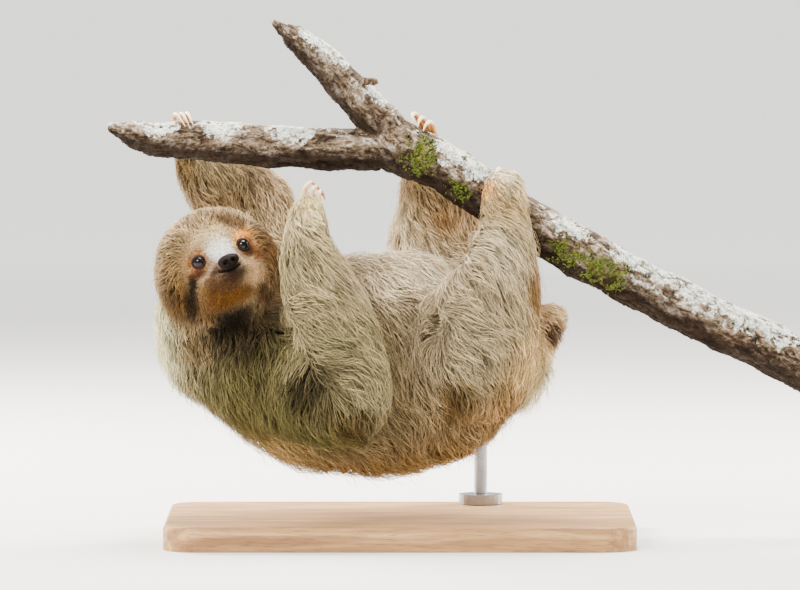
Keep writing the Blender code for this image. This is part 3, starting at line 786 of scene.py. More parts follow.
@dataclass
class Face:
    """The head's own frame, worked out from the boxes of the eyes and the nose.

    Attributes:
        eye_up: height of the eyes over the head's centre.
        eye_out: how far forward of the head's centre the eyes lie.
        nose_up: height of the nose over the head's centre.
        nose_out: how far forward of the head's centre the nose lies.
        pad: half the breadth, height and reach of the nose's pad.
        disc: half the breadth and half the height of the short-haired face.
        disc_up: height of the middle of the face over the head's centre.
        mouth_drop: how far under the nose the mouth runs.
        mouth_half: half the mouth's length.
        lean: how far an eye's opening looks out, up and forward.
        eye_radius: the radius of an eye's ball.
        eyes: the middle of each eye.
        axes: the head's across, up and forward axes as rows.
        centre: the head's centre.
    """

    eye_up: float = 8.4 * MM
    eye_out: float = 39.5 * MM
    nose_up: float = -1.1 * MM
    nose_out: float = 60 * MM
    pad: Triple = (9.7 * MM, 6.2 * MM, 5.6 * MM)
    disc: tuple[float, float] = (37 * MM, 40 * MM)
    disc_up: float = -5 * MM
    mouth_drop: float = 7.4 * MM
    mouth_half: float = 11 * MM
    lean: Triple = (0.30, 0.12, 0.94)
    eye_radius: float = field(init=False)
    eyes: Table = field(init=False)
    axes: Array = field(init=False)
    centre: Array = field(init=False)

    def __post_init__(self) -> None:
        """Finds the across, up and forward axes and the centre from the three boxes."""
        boxes = {name: np.array(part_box(name)) for name in ("eye_left", "eye_right", "nose")}
        self.eyes = {name: boxes[name].mean(axis=0) for name in ("eye_left", "eye_right")}
        self.eye_radius = float(np.ptp(boxes["eye_left"], axis=0).mean() / 2)
        middle = (self.eyes["eye_left"] + self.eyes["eye_right"]) / 2
        across = unit(self.eyes["eye_left"] - self.eyes["eye_right"])
        slope = boxes["nose"].mean(axis=0) - middle
        slope = unit(slope - across * (slope @ across))
        square = unit(np.cross(slope, across))
        rise = self.nose_up - self.eye_up
        reach = self.nose_out - self.eye_out
        sine, cosine = rise / math.hypot(rise, reach), reach / math.hypot(rise, reach)
        up = unit(cosine * square + sine * slope)
        self.axes = np.stack([across, up, np.cross(across, up)])
        self.centre = middle - self.eye_up * self.axes[1] - self.eye_out * self.axes[2]

    def inward(self, points: Array) -> Array:
        """Turns places in the model into across, up and forward places on the head."""
        return (points - self.centre) @ self.axes.T

    def outward(self, local: Array) -> Array:
        """Turns across, up and forward places on the head into places in the model."""
        return local @ self.axes + self.centre

    def gaze(self, name: str) -> Array:
        """Gives the axis of an eye's opening, leaning out to its own side."""
        side = 1.0 if name == "eye_left" else -1.0
        return unit(np.array([side * self.lean[0], *self.lean[1:]]) @ self.axes)

    def about_eye(self, name: str, points: Array) -> tuple[Array, Array, Array]:
        """Measures points from the middle of an eye.

        Args:
            name: the eye's node.
            points: N x 3 places.

        Returns:
            The eye's axis, how far along it each point lies, and N x 3 ways off it.
        """
        axis = self.gaze(name)
        offset = points - self.eyes[name]
        along = offset @ axis
        return axis, along, offset - along[:, None] * axis

    def roundness(self, local: Array) -> Array:
        """Gives each place's distance from the face's middle, in shares of the disc's radii."""
        return np.hypot(local[:, 0] / self.disc[0], (local[:, 1] - self.disc_up) / self.disc[1])

    def share(self, points: Array) -> Array:
        """Gives 1 on the short-haired face and 0 off it, eased over the hood's edge."""
        local = self.inward(points)
        return ease(1.18, 0.92, self.roundness(local)) * ease(0.0, 12 * MM, local[:, 2])

    def eye_ring(self, points: Array) -> Array:
        """Gives each point's distance from the nearer eye's axis.

        Args:
            points: N x 3 places.

        Returns:
            N distances, with 1 m for what lies far behind the face.
        """
        nearest = np.ones(len(points))
        for name in self.eyes:
            _, along, off = self.about_eye(name, points)
            nearest = np.minimum(nearest, np.where(along > -12 * MM, norms(off), 1.0))
        return nearest

    def mouth_gap(self, points: Array) -> Array:
        """Gives each point's height over the mouth's line, a shallow smile under the nose.

        Args:
            points: N x 3 places.

        Returns:
            N heights, which grow quickly past the mouth's corners.
        """
        local = self.inward(points)
        line = self.nose_up - self.mouth_drop + 18.0 * local[:, 0] ** 2
        away = 40.0 * np.maximum(np.abs(local[:, 0]) - self.mouth_half, 0.0)
        return local[:, 1] - line + away * np.sign(local[:, 1] - line)

    def nose_gap(self, points: Array) -> Array:
        """Gives each point's distance from the nose's middle, in shares of the pad's radii."""
        local = self.inward(points) - (0.0, self.nose_up, self.nose_out)
        return norms(local / self.pad)


# ---- rules of the coat


@dataclass(frozen=True)
class CoatRule:
    """How the coat grows over one node of flesh.

    Attributes:
        node: the flesh node.
        depth: the coat's depth over the skin.
        length: the hair's length.
        breadth: a tuft's breadth.  A tuft stands for several hairs, too fine to show singly.
        gap: the mean distance between roots.
        lie: the way the hair lies, before it is laid along the skin.
        tip: the colour of the hair's outer half.
    """

    node: str
    depth: float
    length: float
    breadth: float
    gap: float
    lie: Triple
    tip: str


RULES: tuple[CoatRule, ...] = tuple(CoatRule(*row) for row in (
    ("head", 4.5, 19, 0.85, 1.55, (0, 0, -0.5), "b49a75"),
    ("neck", 9, 34, 0.9, 2.1, (0.05, 0, -1), "a59a75"),
    ("trunk", 10, 40, 0.95, 2.25, (0.5, 0, -0.85), "a5916e"),
    ("tail", 4, 20, 0.85, 1.8, (0.8, 0.25, -0.5), "e2c096"),
    ("upper_arm_right", 10, 42, 0.95, 2.15, (0.3, 0, -0.95), "675f3a"),
    ("forearm_right", 7, 30, 0.9, 1.95, (0.62, 0, -0.78), "aa9b74"),
    ("hand_right", 2.5, 10, 0.8, 1.3, (0.35, -0.1, -0.9), "f8e2b4"),
    ("upper_arm_left", 7.5, 28, 0.9, 2.1, (0.5, 0, -0.85), "96794f"),
    ("forearm_left", 6, 25, 0.9, 1.95, (0.5, 0, -0.85), "bba27c"),
    ("hand_left", 2, 9, 0.8, 1.3, (0.3, 0, -0.9), "dcc69c"),
    ("thigh_right", 9, 38, 0.95, 2.15, (0.15, 0, -1), "a68a5e"),
    ("shank_right", 6, 31, 0.9, 1.95, (0.5, 0, -0.85), "bba884"),
    ("foot_right", 2.5, 12, 0.85, 1.4, (0.5, 0, -0.85), "e6cda0"),
    ("thigh_left", 8, 30, 0.9, 2.1, (0.35, 0.1, -0.9), "b08f62"),
    ("shank_left", 6.5, 27, 0.9, 1.95, (0.3, 0.1, -0.95), "e0c296"),
    ("foot_left", 2, 10, 0.85, 1.4, (0.4, 0, -0.9), "cdac7c"),
))
FACE_RULE = CoatRule("face", 1.3, 4.2, 0.62, 0.82, (0, 0, -0.3), "b3946c")


@dataclass(frozen=True)
class Spot:
    """A soft patch of colour: strongest at its centre, fading as exp(-distance^4).

    Attributes:
        centre: its middle, on the head across, up and forward, elsewhere in the model.
        radii: how far it reaches along each axis.
        colour: its hex colour.
        strength: how far it covers what is under it.
        turn: how far it is turned, from across towards up, in degrees.
    """

    centre: Triple
    radii: Triple
    colour: str
    strength: float = 1.0
    turn: float = 0.0

    def weight(self, points: Array, plane: tuple[int, int] = (0, 1)) -> Array:
        """Gives how much of the spot's colour each point takes.

        Args:
            points: places in millimetres, in the frame that the centre is in.
            plane: the two axes that the turn is in.

        Returns:
            N weights from 0 to the spot's strength.
        """
        offset = points - self.centre
        angle = math.radians(self.turn)
        first, second = offset[:, plane[0]].copy(), offset[:, plane[1]].copy()
        offset[:, plane[0]] = first * math.cos(angle) + second * math.sin(angle)
        offset[:, plane[1]] = second * math.cos(angle) - first * math.sin(angle)
        return self.strength * bell(norms(offset / self.radii), power=4)


FACE_SPOTS: tuple[Spot, ...] = tuple(Spot(*row) for row in (
    ((0, 34, 30), (34, 17, 40), "b0936a"),
    ((-16, 38, 25), (16, 9, 30), "c9ad86", 0.8),
    ((-28, 24, 25), (14, 12, 30), "a0865f", 0.8),
    ((22, 28, 25), (16, 4.5, 34), "5d4128", 0.85, -35),
    ((42, 24, 10), (9, 18, 40), "e6cfa6", 0.88, -30),
    ((-38, -2, 15), (12, 26, 40), "775a2e", 0.8),
    ((40, -2, 15), (12, 26, 40), "855f33", 0.8),
    ((21, -17, 30), (14, 15, 40), "e6be90", 0.95),
    ((-20, -18, 30), (13, 11, 40), "6f4a1c", 0.9),
    ((-11, -30, 20), (27, 13, 60), "573708"),
    # Painted shadow: near-black under the chin.
    ((-8, -47, 20), (32, 10, 60), "0a0502", 0.98),
    ((28, -34, 20), (12, 9, 60), "4f3214", 0.8),
    ((6, -29, 30), (14, 8, 40), "66430f", 0.85),
    ((-45, -12, 10), (11, 17, 60), "50370f", 0.84),
    ((-1, -6, 56), (13, 5.5, 14), "43332a", 0.93),
    ((-2, -13, 50), (18, 6.5, 34), "1c0e06", 0.96),
    ((-5, -19.5, 45), (18, 5, 40), "482a10", 0.85),
    ((-14, -10, 45), (9, 5, 30), "5a3e2a", 0.82),
    ((-31, -7, 30), (4.6, 15, 40), "120803", 0.98, -21),
    ((-36, -22, 20), (5.0, 12, 40), "1a0e05", 0.9, -12),
    ((30, -3, 30), (6.5, 7.5, 40), "6b3f18", 0.9, 20),
    ((-20, 9, 38), (12.5, 10.5, 20), "b07c42", 0.88),
    ((24, 11, 38), (12.5, 10.5, 20), "b07c3c", 0.93),
    ((24.5, 17, 38), (9.5, 5, 20), "f2a63e", 1.0, 8),
    ((15, 13, 40), (3.5, 5, 20), "dc9f4c", 0.85),
    ((-21, 8.2, 38), (8.8, 8.4, 20), "5e3214", 0.92),
    ((23.5, 8.0, 38), (7.8, 7.6, 20), "6f421c", 0.85),
    ((22.5, 1.2, 38), (8, 3.5, 20), "4e2a14", 0.85, 10),
    ((-23.5, -1.0, 38), (8, 4.6, 20), "452413", 0.92),
    ((0, 22, 40), (12, 12, 30), "ccb78f", 0.6),
    ((0, 12, 46), (11.5, 9, 30), "f6f1e8"),
    ((0, 5.5, 54), (11.5, 6, 16), "efe9ec", 0.97),
    ((-12, -0.5, 52), (5, 8, 20), "a08468", 0.9),
    ((-11, -5, 50), (5, 3.6, 20), "3f2e26", 0.9),
    ((14.5, -3.5, 50), (4.5, 6.5, 20), "c8a888", 0.85),
))
BODY_SPOTS: tuple[Spot, ...] = tuple(Spot(*row) for row in (
    # Painted rim light: a pale band down the neck's left edge.
    ((-210, 0, 195), (20, 90, 50), "f0e6bc", 0.8),
    # Painted shadow: near-black under the chin, between the head and the shoulder.
    ((-145, -60, 194), (36, 60, 22), "140c04", 0.93),
    ((-186, -60, 186), (16, 50, 14), "6b4c28", 0.7),
    # Painted shade: darker between the head and the near forearm.
    ((-120, -110, 180), (14, 50, 34), "4c4126", 0.6),
    ((-62, -140, 186), (26, 50, 18), "6c6c46", 0.6, -35),
    ((-95, -120, 120), (45, 70, 30), "5c5632", 0.7),
    ((-150, -40, 130), (40, 90, 40), "6c6038", 0.6),
    ((-46, -120, 122), (24, 50, 18), "4c3b18", 0.85),
    # Painted shade: near-black in the whorl of hair on the near arm.
    ((-82, -125, 155), (21, 40, 20), "1e1508", 0.93),
    ((-20, 0, 72), (90, 120, 20), "a98c58", 0.85),
    ((-120, 0, 99), (40, 120, 18), "cdb27a", 0.82),
    ((30, 0, 85), (60, 120, 25), "a9894f", 0.7),
    ((-10, 0, 248), (74, 110, 34), "ffe6c2", 0.95),
    ((20, -70, 190), (22, 60, 30), "a08c70", 0.7),
    ((46, -75, 146), (18, 50, 17), "57421f", 0.9),
    ((78, -110, 128), (12, 50, 10), "5e4224", 0.7),
    ((95, -100, 140), (24, 60, 40), "a88655", 0.6),
    ((84, -20, 106), (22, 60, 12), "c8aa76", 0.7),
    ((60, -110, 200), (22, 60, 45), "bcae8c", 0.6),
    ((84, -85, 264), (20, 50, 20), "dfcfac", 0.7),
    ((117, -70, 240), (11, 60, 36), "9a6f3c", 0.8),
    ((112, -62, 180), (20, 50, 30), "fbd598", 0.9),
    ((89, -50, 304), (26, 50, 12), "a3875a", 0.7),
    ((128, -30, 140), (16, 90, 36), "fff0c6", 0.88),
    ((142, 0, 158), (22, 90, 20), "e8d684", 0.88),
    ((128, 0, 190), (18, 60, 9), "452407", 0.96),
    ((134, 0, 212), (22, 60, 12), "ffd9a4", 0.97),
    ((136, 0, 170), (12, 60, 8), "ecdc80", 0.9),
    ((92, -10, 332), (20, 50, 9), "ffeccb", 0.9),
    ((74, -50, 321), (12, 50, 9), "eea850", 0.9),
    ((-82, -77, 309), (22, 50, 13), "ffe2a8", 0.95),
    # Painted light: a pale patch on the top of the far arm, lit from behind.
    ((-115, 45, 300), (22, 60, 40), "fbdcb2", 0.85),
    ((-170, 45, 300), (26, 60, 22), "8a6b42", 0.6),
    ((-196, 30, 338), (12, 50, 14), "7c5a24", 0.7),
    ((36, 20, 298), (14, 50, 14), "a27238", 0.75),
    # Painted rim light: a pale band down the left edge of the far leg.
    ((2, 30, 285), (9, 60, 40), "f8e2c0", 0.7),
))


@dataclass(frozen=True)
class Fan:
    """A place from which the hair spreads, as on the crook of a limb.

    Attributes:
        centre: its middle, in the model.
        reach: how far round it the hair turns.
        strength: how strongly, against the limb's own lie.
    """

    centre: Triple
    reach: float
    strength: float


FANS: tuple[Fan, ...] = (
    Fan((-84, -122, 153), 34, 2.4),
    Fan((-112, -100, 205), 32, 1.2),
    Fan((24, -100, 182), 38, 2.2),
    Fan((60, -60, 250), 30, 0.8),
)


# ---- skin


def welded(mesh: Any) -> tuple[Array, Array]:
    """Merges the points of loose triangles that lie within a micrometre.

    Args:
        mesh: a CAD node's mesh, which is only read.

    Returns:
        The merged points and the triangles.
    """
    points = points_of(mesh)
    _, first, number = np.unique(
        np.round(points / 1e-6).astype(np.int64), axis=0, return_index=True, return_inverse=True)
    faces = number.reshape(-1)[triangles_of(mesh)]
    real = (faces[:, 0] != faces[:, 1]) & (faces[:, 1] != faces[:, 2]) & (faces[:, 2] != faces[:, 0])
    return points[first], faces[real]


def point_normals(points: Array, faces: Array) -> Array:
    """Adds up the normals of the triangles round each point, weighed by area.

    Args:
        points: N x 3 places.
        faces: M x 3 corner numbers.

    Returns:
        N x 3 unit normals.
    """
    corners = points[faces]
    flat = np.cross(corners[:, 1] - corners[:, 0], corners[:, 2] - corners[:, 0])
    total = np.stack([
        np.bincount(faces.ravel(), np.repeat(flat[:, k], 3), len(points)) for k in range(3)], axis=1)
    return unit(total)


def joined_copy(name: str, nodes: tuple[str, ...], swell: float) -> Any:
    """Joins copies of CAD nodes, each swollen along its normals so that thin cuts close.

    Args:
        name: the scratch object's name.
        nodes: the CAD nodes.
        swell: how far each copy is swollen.

    Returns:
        A scratch object whose points keep the number of their node as a vector's first value.
    """
    places, corners, owners, start = [], [], [], 0
    for number, key in enumerate(nodes):
        points, faces = welded(NODES[key].data)
        places.append(points + swell * point_normals(points, faces))
        corners.append(faces + start)
        owners.append(np.full(len(points), float(number)))
        start += len(points)
    made = make_object(name, np.concatenate(places), np.concatenate(corners))
    store(made.data, "owner", as_vectors(np.concatenate(owners)))
    return made


class Probe:
    """Looks up the nearest place on a surface, and what is kept there, for whole arrays."""

    def __init__(self, surface: Any, names: tuple[str, ...]) -> None:
        """Builds the node group that samples the named vectors.

        Args:
            surface: the mesh object that is asked.
            names: its point vectors to give back.
        """
        self.names = names
        self.tree = bpy.data.node_groups.new("nearest_place", "GeometryNodeTree")
        for way in ("INPUT", "OUTPUT"):
            self.tree.interface.new_socket("Geometry", in_out=way, socket_type="NodeSocketGeometry")
        flow = node(self.tree, "NodeGroupInput")
        asked = node(self.tree, "GeometryNodeObjectInfo", {"Object": surface})
        kind = {"data_type": "FLOAT_VECTOR"}
        for name in names:
            kept = node(self.tree, "GeometryNodeInputNamedAttribute", {"Name": name}, **kind)
            found = node(self.tree, "GeometryNodeSampleNearestSurface", {
                "Mesh": asked.outputs["Geometry"], "Value": kept.outputs["Attribute"]}, **kind)
            flow = node(self.tree, "GeometryNodeStoreNamedAttribute", {
                "Geometry": flow, "Name": name, "Value": found.outputs["Value"]}, domain="POINT", **kind)
        node(self.tree, "NodeGroupOutput", {0: flow})

    def ask(self, points: Array) -> list[Array]:
        """Samples the surface at the places nearest to the points.

        Args:
            points: N x 3 places.

        Returns:
            One N x 3 array for each name.
        """
        asker = make_object("asker", points, np.zeros((0, 3), int))
        add_modifier(asker, "NODES", node_group=self.tree)
        bpy.context.view_layer.update()
        seen = asker.evaluated_get(bpy.context.evaluated_depsgraph_get()).data
        answers = [
            read(seen.attributes[name].data, "vector", 3, np.float32).astype(float) for name in self.names]
        discard(asker)
        return answers

    def close(self) -> None:
        """Removes the node group."""
        bpy.data.node_groups.remove(self.tree)


def discard(scratch: Any) -> None:
    """Removes a scratch object's mesh, and the object with it."""
    bpy.data.meshes.remove(scratch.data)


def owners_from(scratch: Any, points: Array) -> Array:
    """Asks a scratch object which node is nearest to each point, and removes the object.

    Args:
        scratch: a joined copy of nodes, or a mesh with the same numbers on it.
        points: N x 3 places.

    Returns:
        The node's number for each point.
    """
    probe = Probe(scratch, ("owner",))
    owner = np.rint(probe.ask(points)[0][:, 0]).astype(int)
    probe.close()
    discard(scratch)
    return owner


@dataclass
class Skin:
    """One skin over all the flesh, drawn in by the coat's depth, with the face worked into it.

    Attributes:
        face: the head's frame.
        voxel: the grid that the flesh is remeshed on.
        swell: how far the flesh is swollen first, to close the cuts between nodes.
        calm: rounds of smoothing of the remeshed skin.
        blend: rounds by which the rules of neighbouring nodes run into each other.
        socket: radius of an eye's socket.
        mound: how far round an eye the skin is raised.
        orbit: how far in front of the eye's middle it is raised to.
        groove: depth of the mouth's groove.
        lips: the mouth's lips, upper then lower: height, middle over the line and breadth.
        piece: the finished skin.
        owner: the number of the flesh node under each point.
        values: colour, sizes and lie of the hair on each point.
    """

    face: Face
    voxel: float = 2.7 * MM
    swell: float = 0.7 * MM
    calm: int = 10
    blend: int = 40
    socket: float = 5 * MM
    mound: float = 9.5 * MM
    orbit: float = 3.2 * MM
    groove: float = 2 * MM
    lips: tuple[Triple, ...] = ((0.9 * MM, 2.6 * MM, 1.8 * MM), (1.1 * MM, -3 * MM, 2.2 * MM))
    piece: Any = field(init=False, default=None)
    owner: Array = field(init=False, default=None)
    values: Table = field(init=False, default_factory=dict)

    def build(self) -> Any:
        """Makes the skin and keeps its attributes on its mesh.

        Returns:
            The skin's object.
        """
        nodes = tuple(rule.node for rule in RULES)
        flesh = joined_copy("flesh_copy", nodes, self.swell)
        mesh = with_modifier(flesh, "REMESH", mode="VOXEL", voxel_size=self.voxel)
        self.piece = surface = in_scene("skin", mesh)
        # Smoothed first, so that facets and the cuts between nodes don't show.
        move_points(mesh, spread(points_of(mesh), edges_of(mesh), self.calm))
        numbered = self.draw_in(mesh, owners_from(flesh, points_of(mesh)))
        self.refine(mesh)
        self.sculpt(mesh)
        self.owner = owners_from(numbered, points_of(mesh))
        self.lay_rules(mesh)
        mesh.shade_smooth()
        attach(surface, ROOT)
        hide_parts(*nodes)
        dress(surface, HairFinish("skin_under_hair", shade=0.5, roughness=0.75).build())
        return surface

    def draw_in(self, mesh: Any, owner: Array) -> Any:
        """Draws each point in along its normal by the coat's depth there.

        Args:
            mesh: the smoothed skin.
            owner: the number of the flesh node nearest to each point.

        Returns:
            A scratch copy of the drawn-in skin that keeps those numbers.
        """
        points = points_of(mesh)
        edges = edges_of(mesh)
        depth = np.array([rule.depth for rule in RULES])[owner] * MM
        depth = spread(depth[:, None], edges, self.blend)[:, 0]
        share = self.face.share(points)
        depth = overlay(depth, FACE_RULE.depth * MM, share)
        normals = spread(normals_of(mesh), edges, 4)
        points = points - unit(normals) * (depth + self.swell)[:, None]
        points = spread(points, edges, 3)
        move_points(mesh, points)
        numbered = make_object("numbered", points, triangles_of(mesh))
        store(numbered.data, "owner", as_vectors(owner.astype(float)))
        return numbered

    def refine(self, mesh: Any) -> None:
        """Cuts the edges of the face in two, twice round the eyes and mouth.

        Args:
            mesh: the drawn-in skin.
        """
        for reach in (1.25, 0.95):
            local = self.face.inward(points_of(mesh))
            chosen = (self.face.roundness(local) < reach) & (local[:, 2] > 8 * MM)
            both = chosen[edges_of(mesh)].all(axis=1)
            work = bmesh.new()
            work.from_mesh(mesh)
            work.edges.ensure_lookup_table()
            cut = [work.edges[k] for k in np.flatnonzero(both)]
            bmesh.ops.subdivide_edges(work, edges=cut, cuts=1, use_grid_fill=True, smooth=0.0)
            bmesh.ops.triangulate(work, faces=[f for f in work.faces if len(f.verts) > 4])
            work.to_mesh(mesh)
            work.free()

    def sculpt(self, mesh: Any) -> None:
        """Works the face into the skin: sockets, brow, muzzle lips and the mouth's groove.

        Round each eye the skin is raised to the lids, by exp(-distance^4), and the socket is
        pressed in under the ball; the groove is a gaussian across the mouth's line, with a lip
        raised along each side of it.

        Args:
            mesh: the refined skin.
        """
        points = points_of(mesh)
        normals = unit(spread(normals_of(mesh), edges_of(mesh), 6))
        local = self.face.inward(points)
        front = ease(25 * MM, 38 * MM, local[:, 2])
        gap = self.face.mouth_gap(points)
        ends = ease(self.face.mouth_half * 1.15, self.face.mouth_half * 0.8, np.abs(local[:, 0]))
        lift = -self.groove * bell(gap, MM) * ends
        for height, middle, breadth in self.lips:
            lift += height * bell(gap - middle, breadth) * ends
        points = points + normals * (lift * front)[:, None]
        for name in self.face.eyes:
            axis, along, off = self.face.about_eye(name, points)
            ring = norms(off)
            raised = np.maximum(self.orbit - along, 0.0) * bell(ring, self.mound, 4)
            floor = -MM + 6 * MM * ease(self.socket, 1.35 * self.socket, ring)
            move = raised + np.minimum(floor - along - raised, 0.0)
            points = points + axis * (move * (along > -8 * MM) * (ring < 2 * self.mound))[:, None]
        move_points(mesh, points)

    def lay_rules(self, mesh: Any) -> None:
        """Works out colour, length, breadth, gap, depth and lie of the hair on every point.

        Args:
            mesh: the finished skin.
        """
        points = points_of(mesh)
        edges = edges_of(mesh)
        share = self.face.share(points)
        head = spread((self.owner == 0).astype(float)[:, None], edges, self.blend)[:, 0]
        table = {}
        for key in ("depth", "length", "breadth", "gap"):
            rough = np.array([getattr(rule, key) for rule in RULES])[self.owner]
            even = spread(rough[:, None], edges, self.blend)[:, 0]
            table[key] = overlay(even, getattr(FACE_RULE, key), share) * MM
        base = np.array([tint(rule.tip) for rule in RULES])[self.owner]
        base = spread(base, edges, 2 * self.blend)
        table[COLOUR] = self.paint(points, base, ease(0.2, 0.8, head))
        lie = np.array([rule.lie for rule in RULES])[self.owner]
        lie = spread(lie, edges, self.blend)
        for fan in FANS:
            offset = points / MM - fan.centre
            lie = lie + unit(offset) * (fan.strength * bell(norms(offset), fan.reach))[:, None]
        local = self.face.inward(points)
        away = self.face.outward(np.array([[0.0, -2 * MM, 70 * MM]]))
        crown = ease(-0.2, 0.75, local[:, 1] / norms(local))
        swept = unit(points - away) + 0.9 * np.outer((1 - crown) * (1 - share), (0, 0, -1))
        lie = lie * (1 - 0.75 * head[:, None]) + 1.2 * head[:, None] * swept
        ring, gap = self.face.eye_ring(points), np.abs(self.face.mouth_gap(points))
        bald = ease(6.7 * MM, 6.2 * MM, ring) + (self.face.nose_gap(points) < 1.1)
        lips = (gap < 1.3 * MM) & (local[:, 2] > 35 * MM)
        table |= {"lie": lie + self.parting(points), "facing": normals_of(mesh), "place": points,
                  "bald": np.clip(bald + lips, 0, 1), "share": share}
        mouth = ease(2.4 * MM, 0.9 * MM, gap) * ease(35 * MM, 42 * MM, local[:, 2])
        table[COLOUR] = overlay(table[COLOUR], tint("1d110a"), mouth[:, None])
        rim = 0.8 * ease(7.4 * MM, 6.2 * MM, ring)
        table[COLOUR] = overlay(table[COLOUR], tint("2a1509"), rim[:, None])
        for key in (COLOUR, "lie", "facing", "place"):
            store(mesh, key, table[key])
        self.values = table

    def paint(self, points: Array, base: Array, head: Array) -> Array:
        """Lays the spots over the base colours, each mixed in by its weight.

        Args:
            points: N x 3 places in the model.
            base: N x 3 linear colours of the nodes.
            head: N shares of the head, from 0 to 1.

        Returns:
            N x 3 linear colours.
        """
        colour = base
        local = self.face.inward(points) / MM
        for spot in FACE_SPOTS:
            colour = overlay(colour, tint(spot.colour), (spot.weight(local) * head)[:, None])
        for spot in BODY_SPOTS:
            weight = spot.weight(points / MM, (0, 2)) * (1 - head)
            colour = overlay(colour, tint(spot.colour), weight[:, None])
        return colour

    def parting(self, points: Array) -> Array:
        """Turns the hair next to an eye away from it, by exp(-distance^4).

        Args:
            points: N x 3 places.

        Returns:
            What is added to the lie at each point.
        """
        turned = np.zeros_like(points)
        for name in self.face.eyes:
            off = self.face.about_eye(name, points)[2]
            turned += unit(off) * (2.2 * bell(norms(off), 9 * MM, 4))[:, None]
        return turned


# ---- coat


def clumps(points: Array, size: float, seed: int) -> tuple[Array, Array]:
    """Sorts points into irregular clumps: one centre for each cube, shifted inside it.

    Each point goes to the nearest of the centres of the 27 cubes round it.

    Args:
        points: N x 3 places.
        size: the side of a cube.
        seed: picks other centres.

    Returns:
        The way from each point to its clump's centre, and a value from 0 to 1 for the clump.
    """
    cube = np.floor(points / size)
    best = np.full(len(points), np.inf)
    way = np.zeros_like(points)
    value = np.zeros(len(points))
    for step in np.ndindex(3, 3, 3):
        corner = cube + step - 1.0
        shift = np.stack([lattice_noise(corner + 0.0, seed + k) for k in range(3)], axis=1)
        offset = (corner + 0.5 + 0.45 * shift) * size - points
        distance = norms(offset)
        nearer = distance < best
        best = np.where(nearer, distance, best)
        way = np.where(nearer[:, None], offset, way)
        value = np.where(nearer, 0.5 + 0.5 * lattice_noise(corner, seed + 7), value)
    return way, value


class Growth(Enum):
    """How many lengths a tuft is built from: long hair bends more than short."""

    SHORT = 2
    LONG = 4

    @property
    def triangles(self) -> int:
        """Counts a tuft's triangles: six to a length, three at the tip and one at the root."""
        return 6 * (self.value - 1) + 4


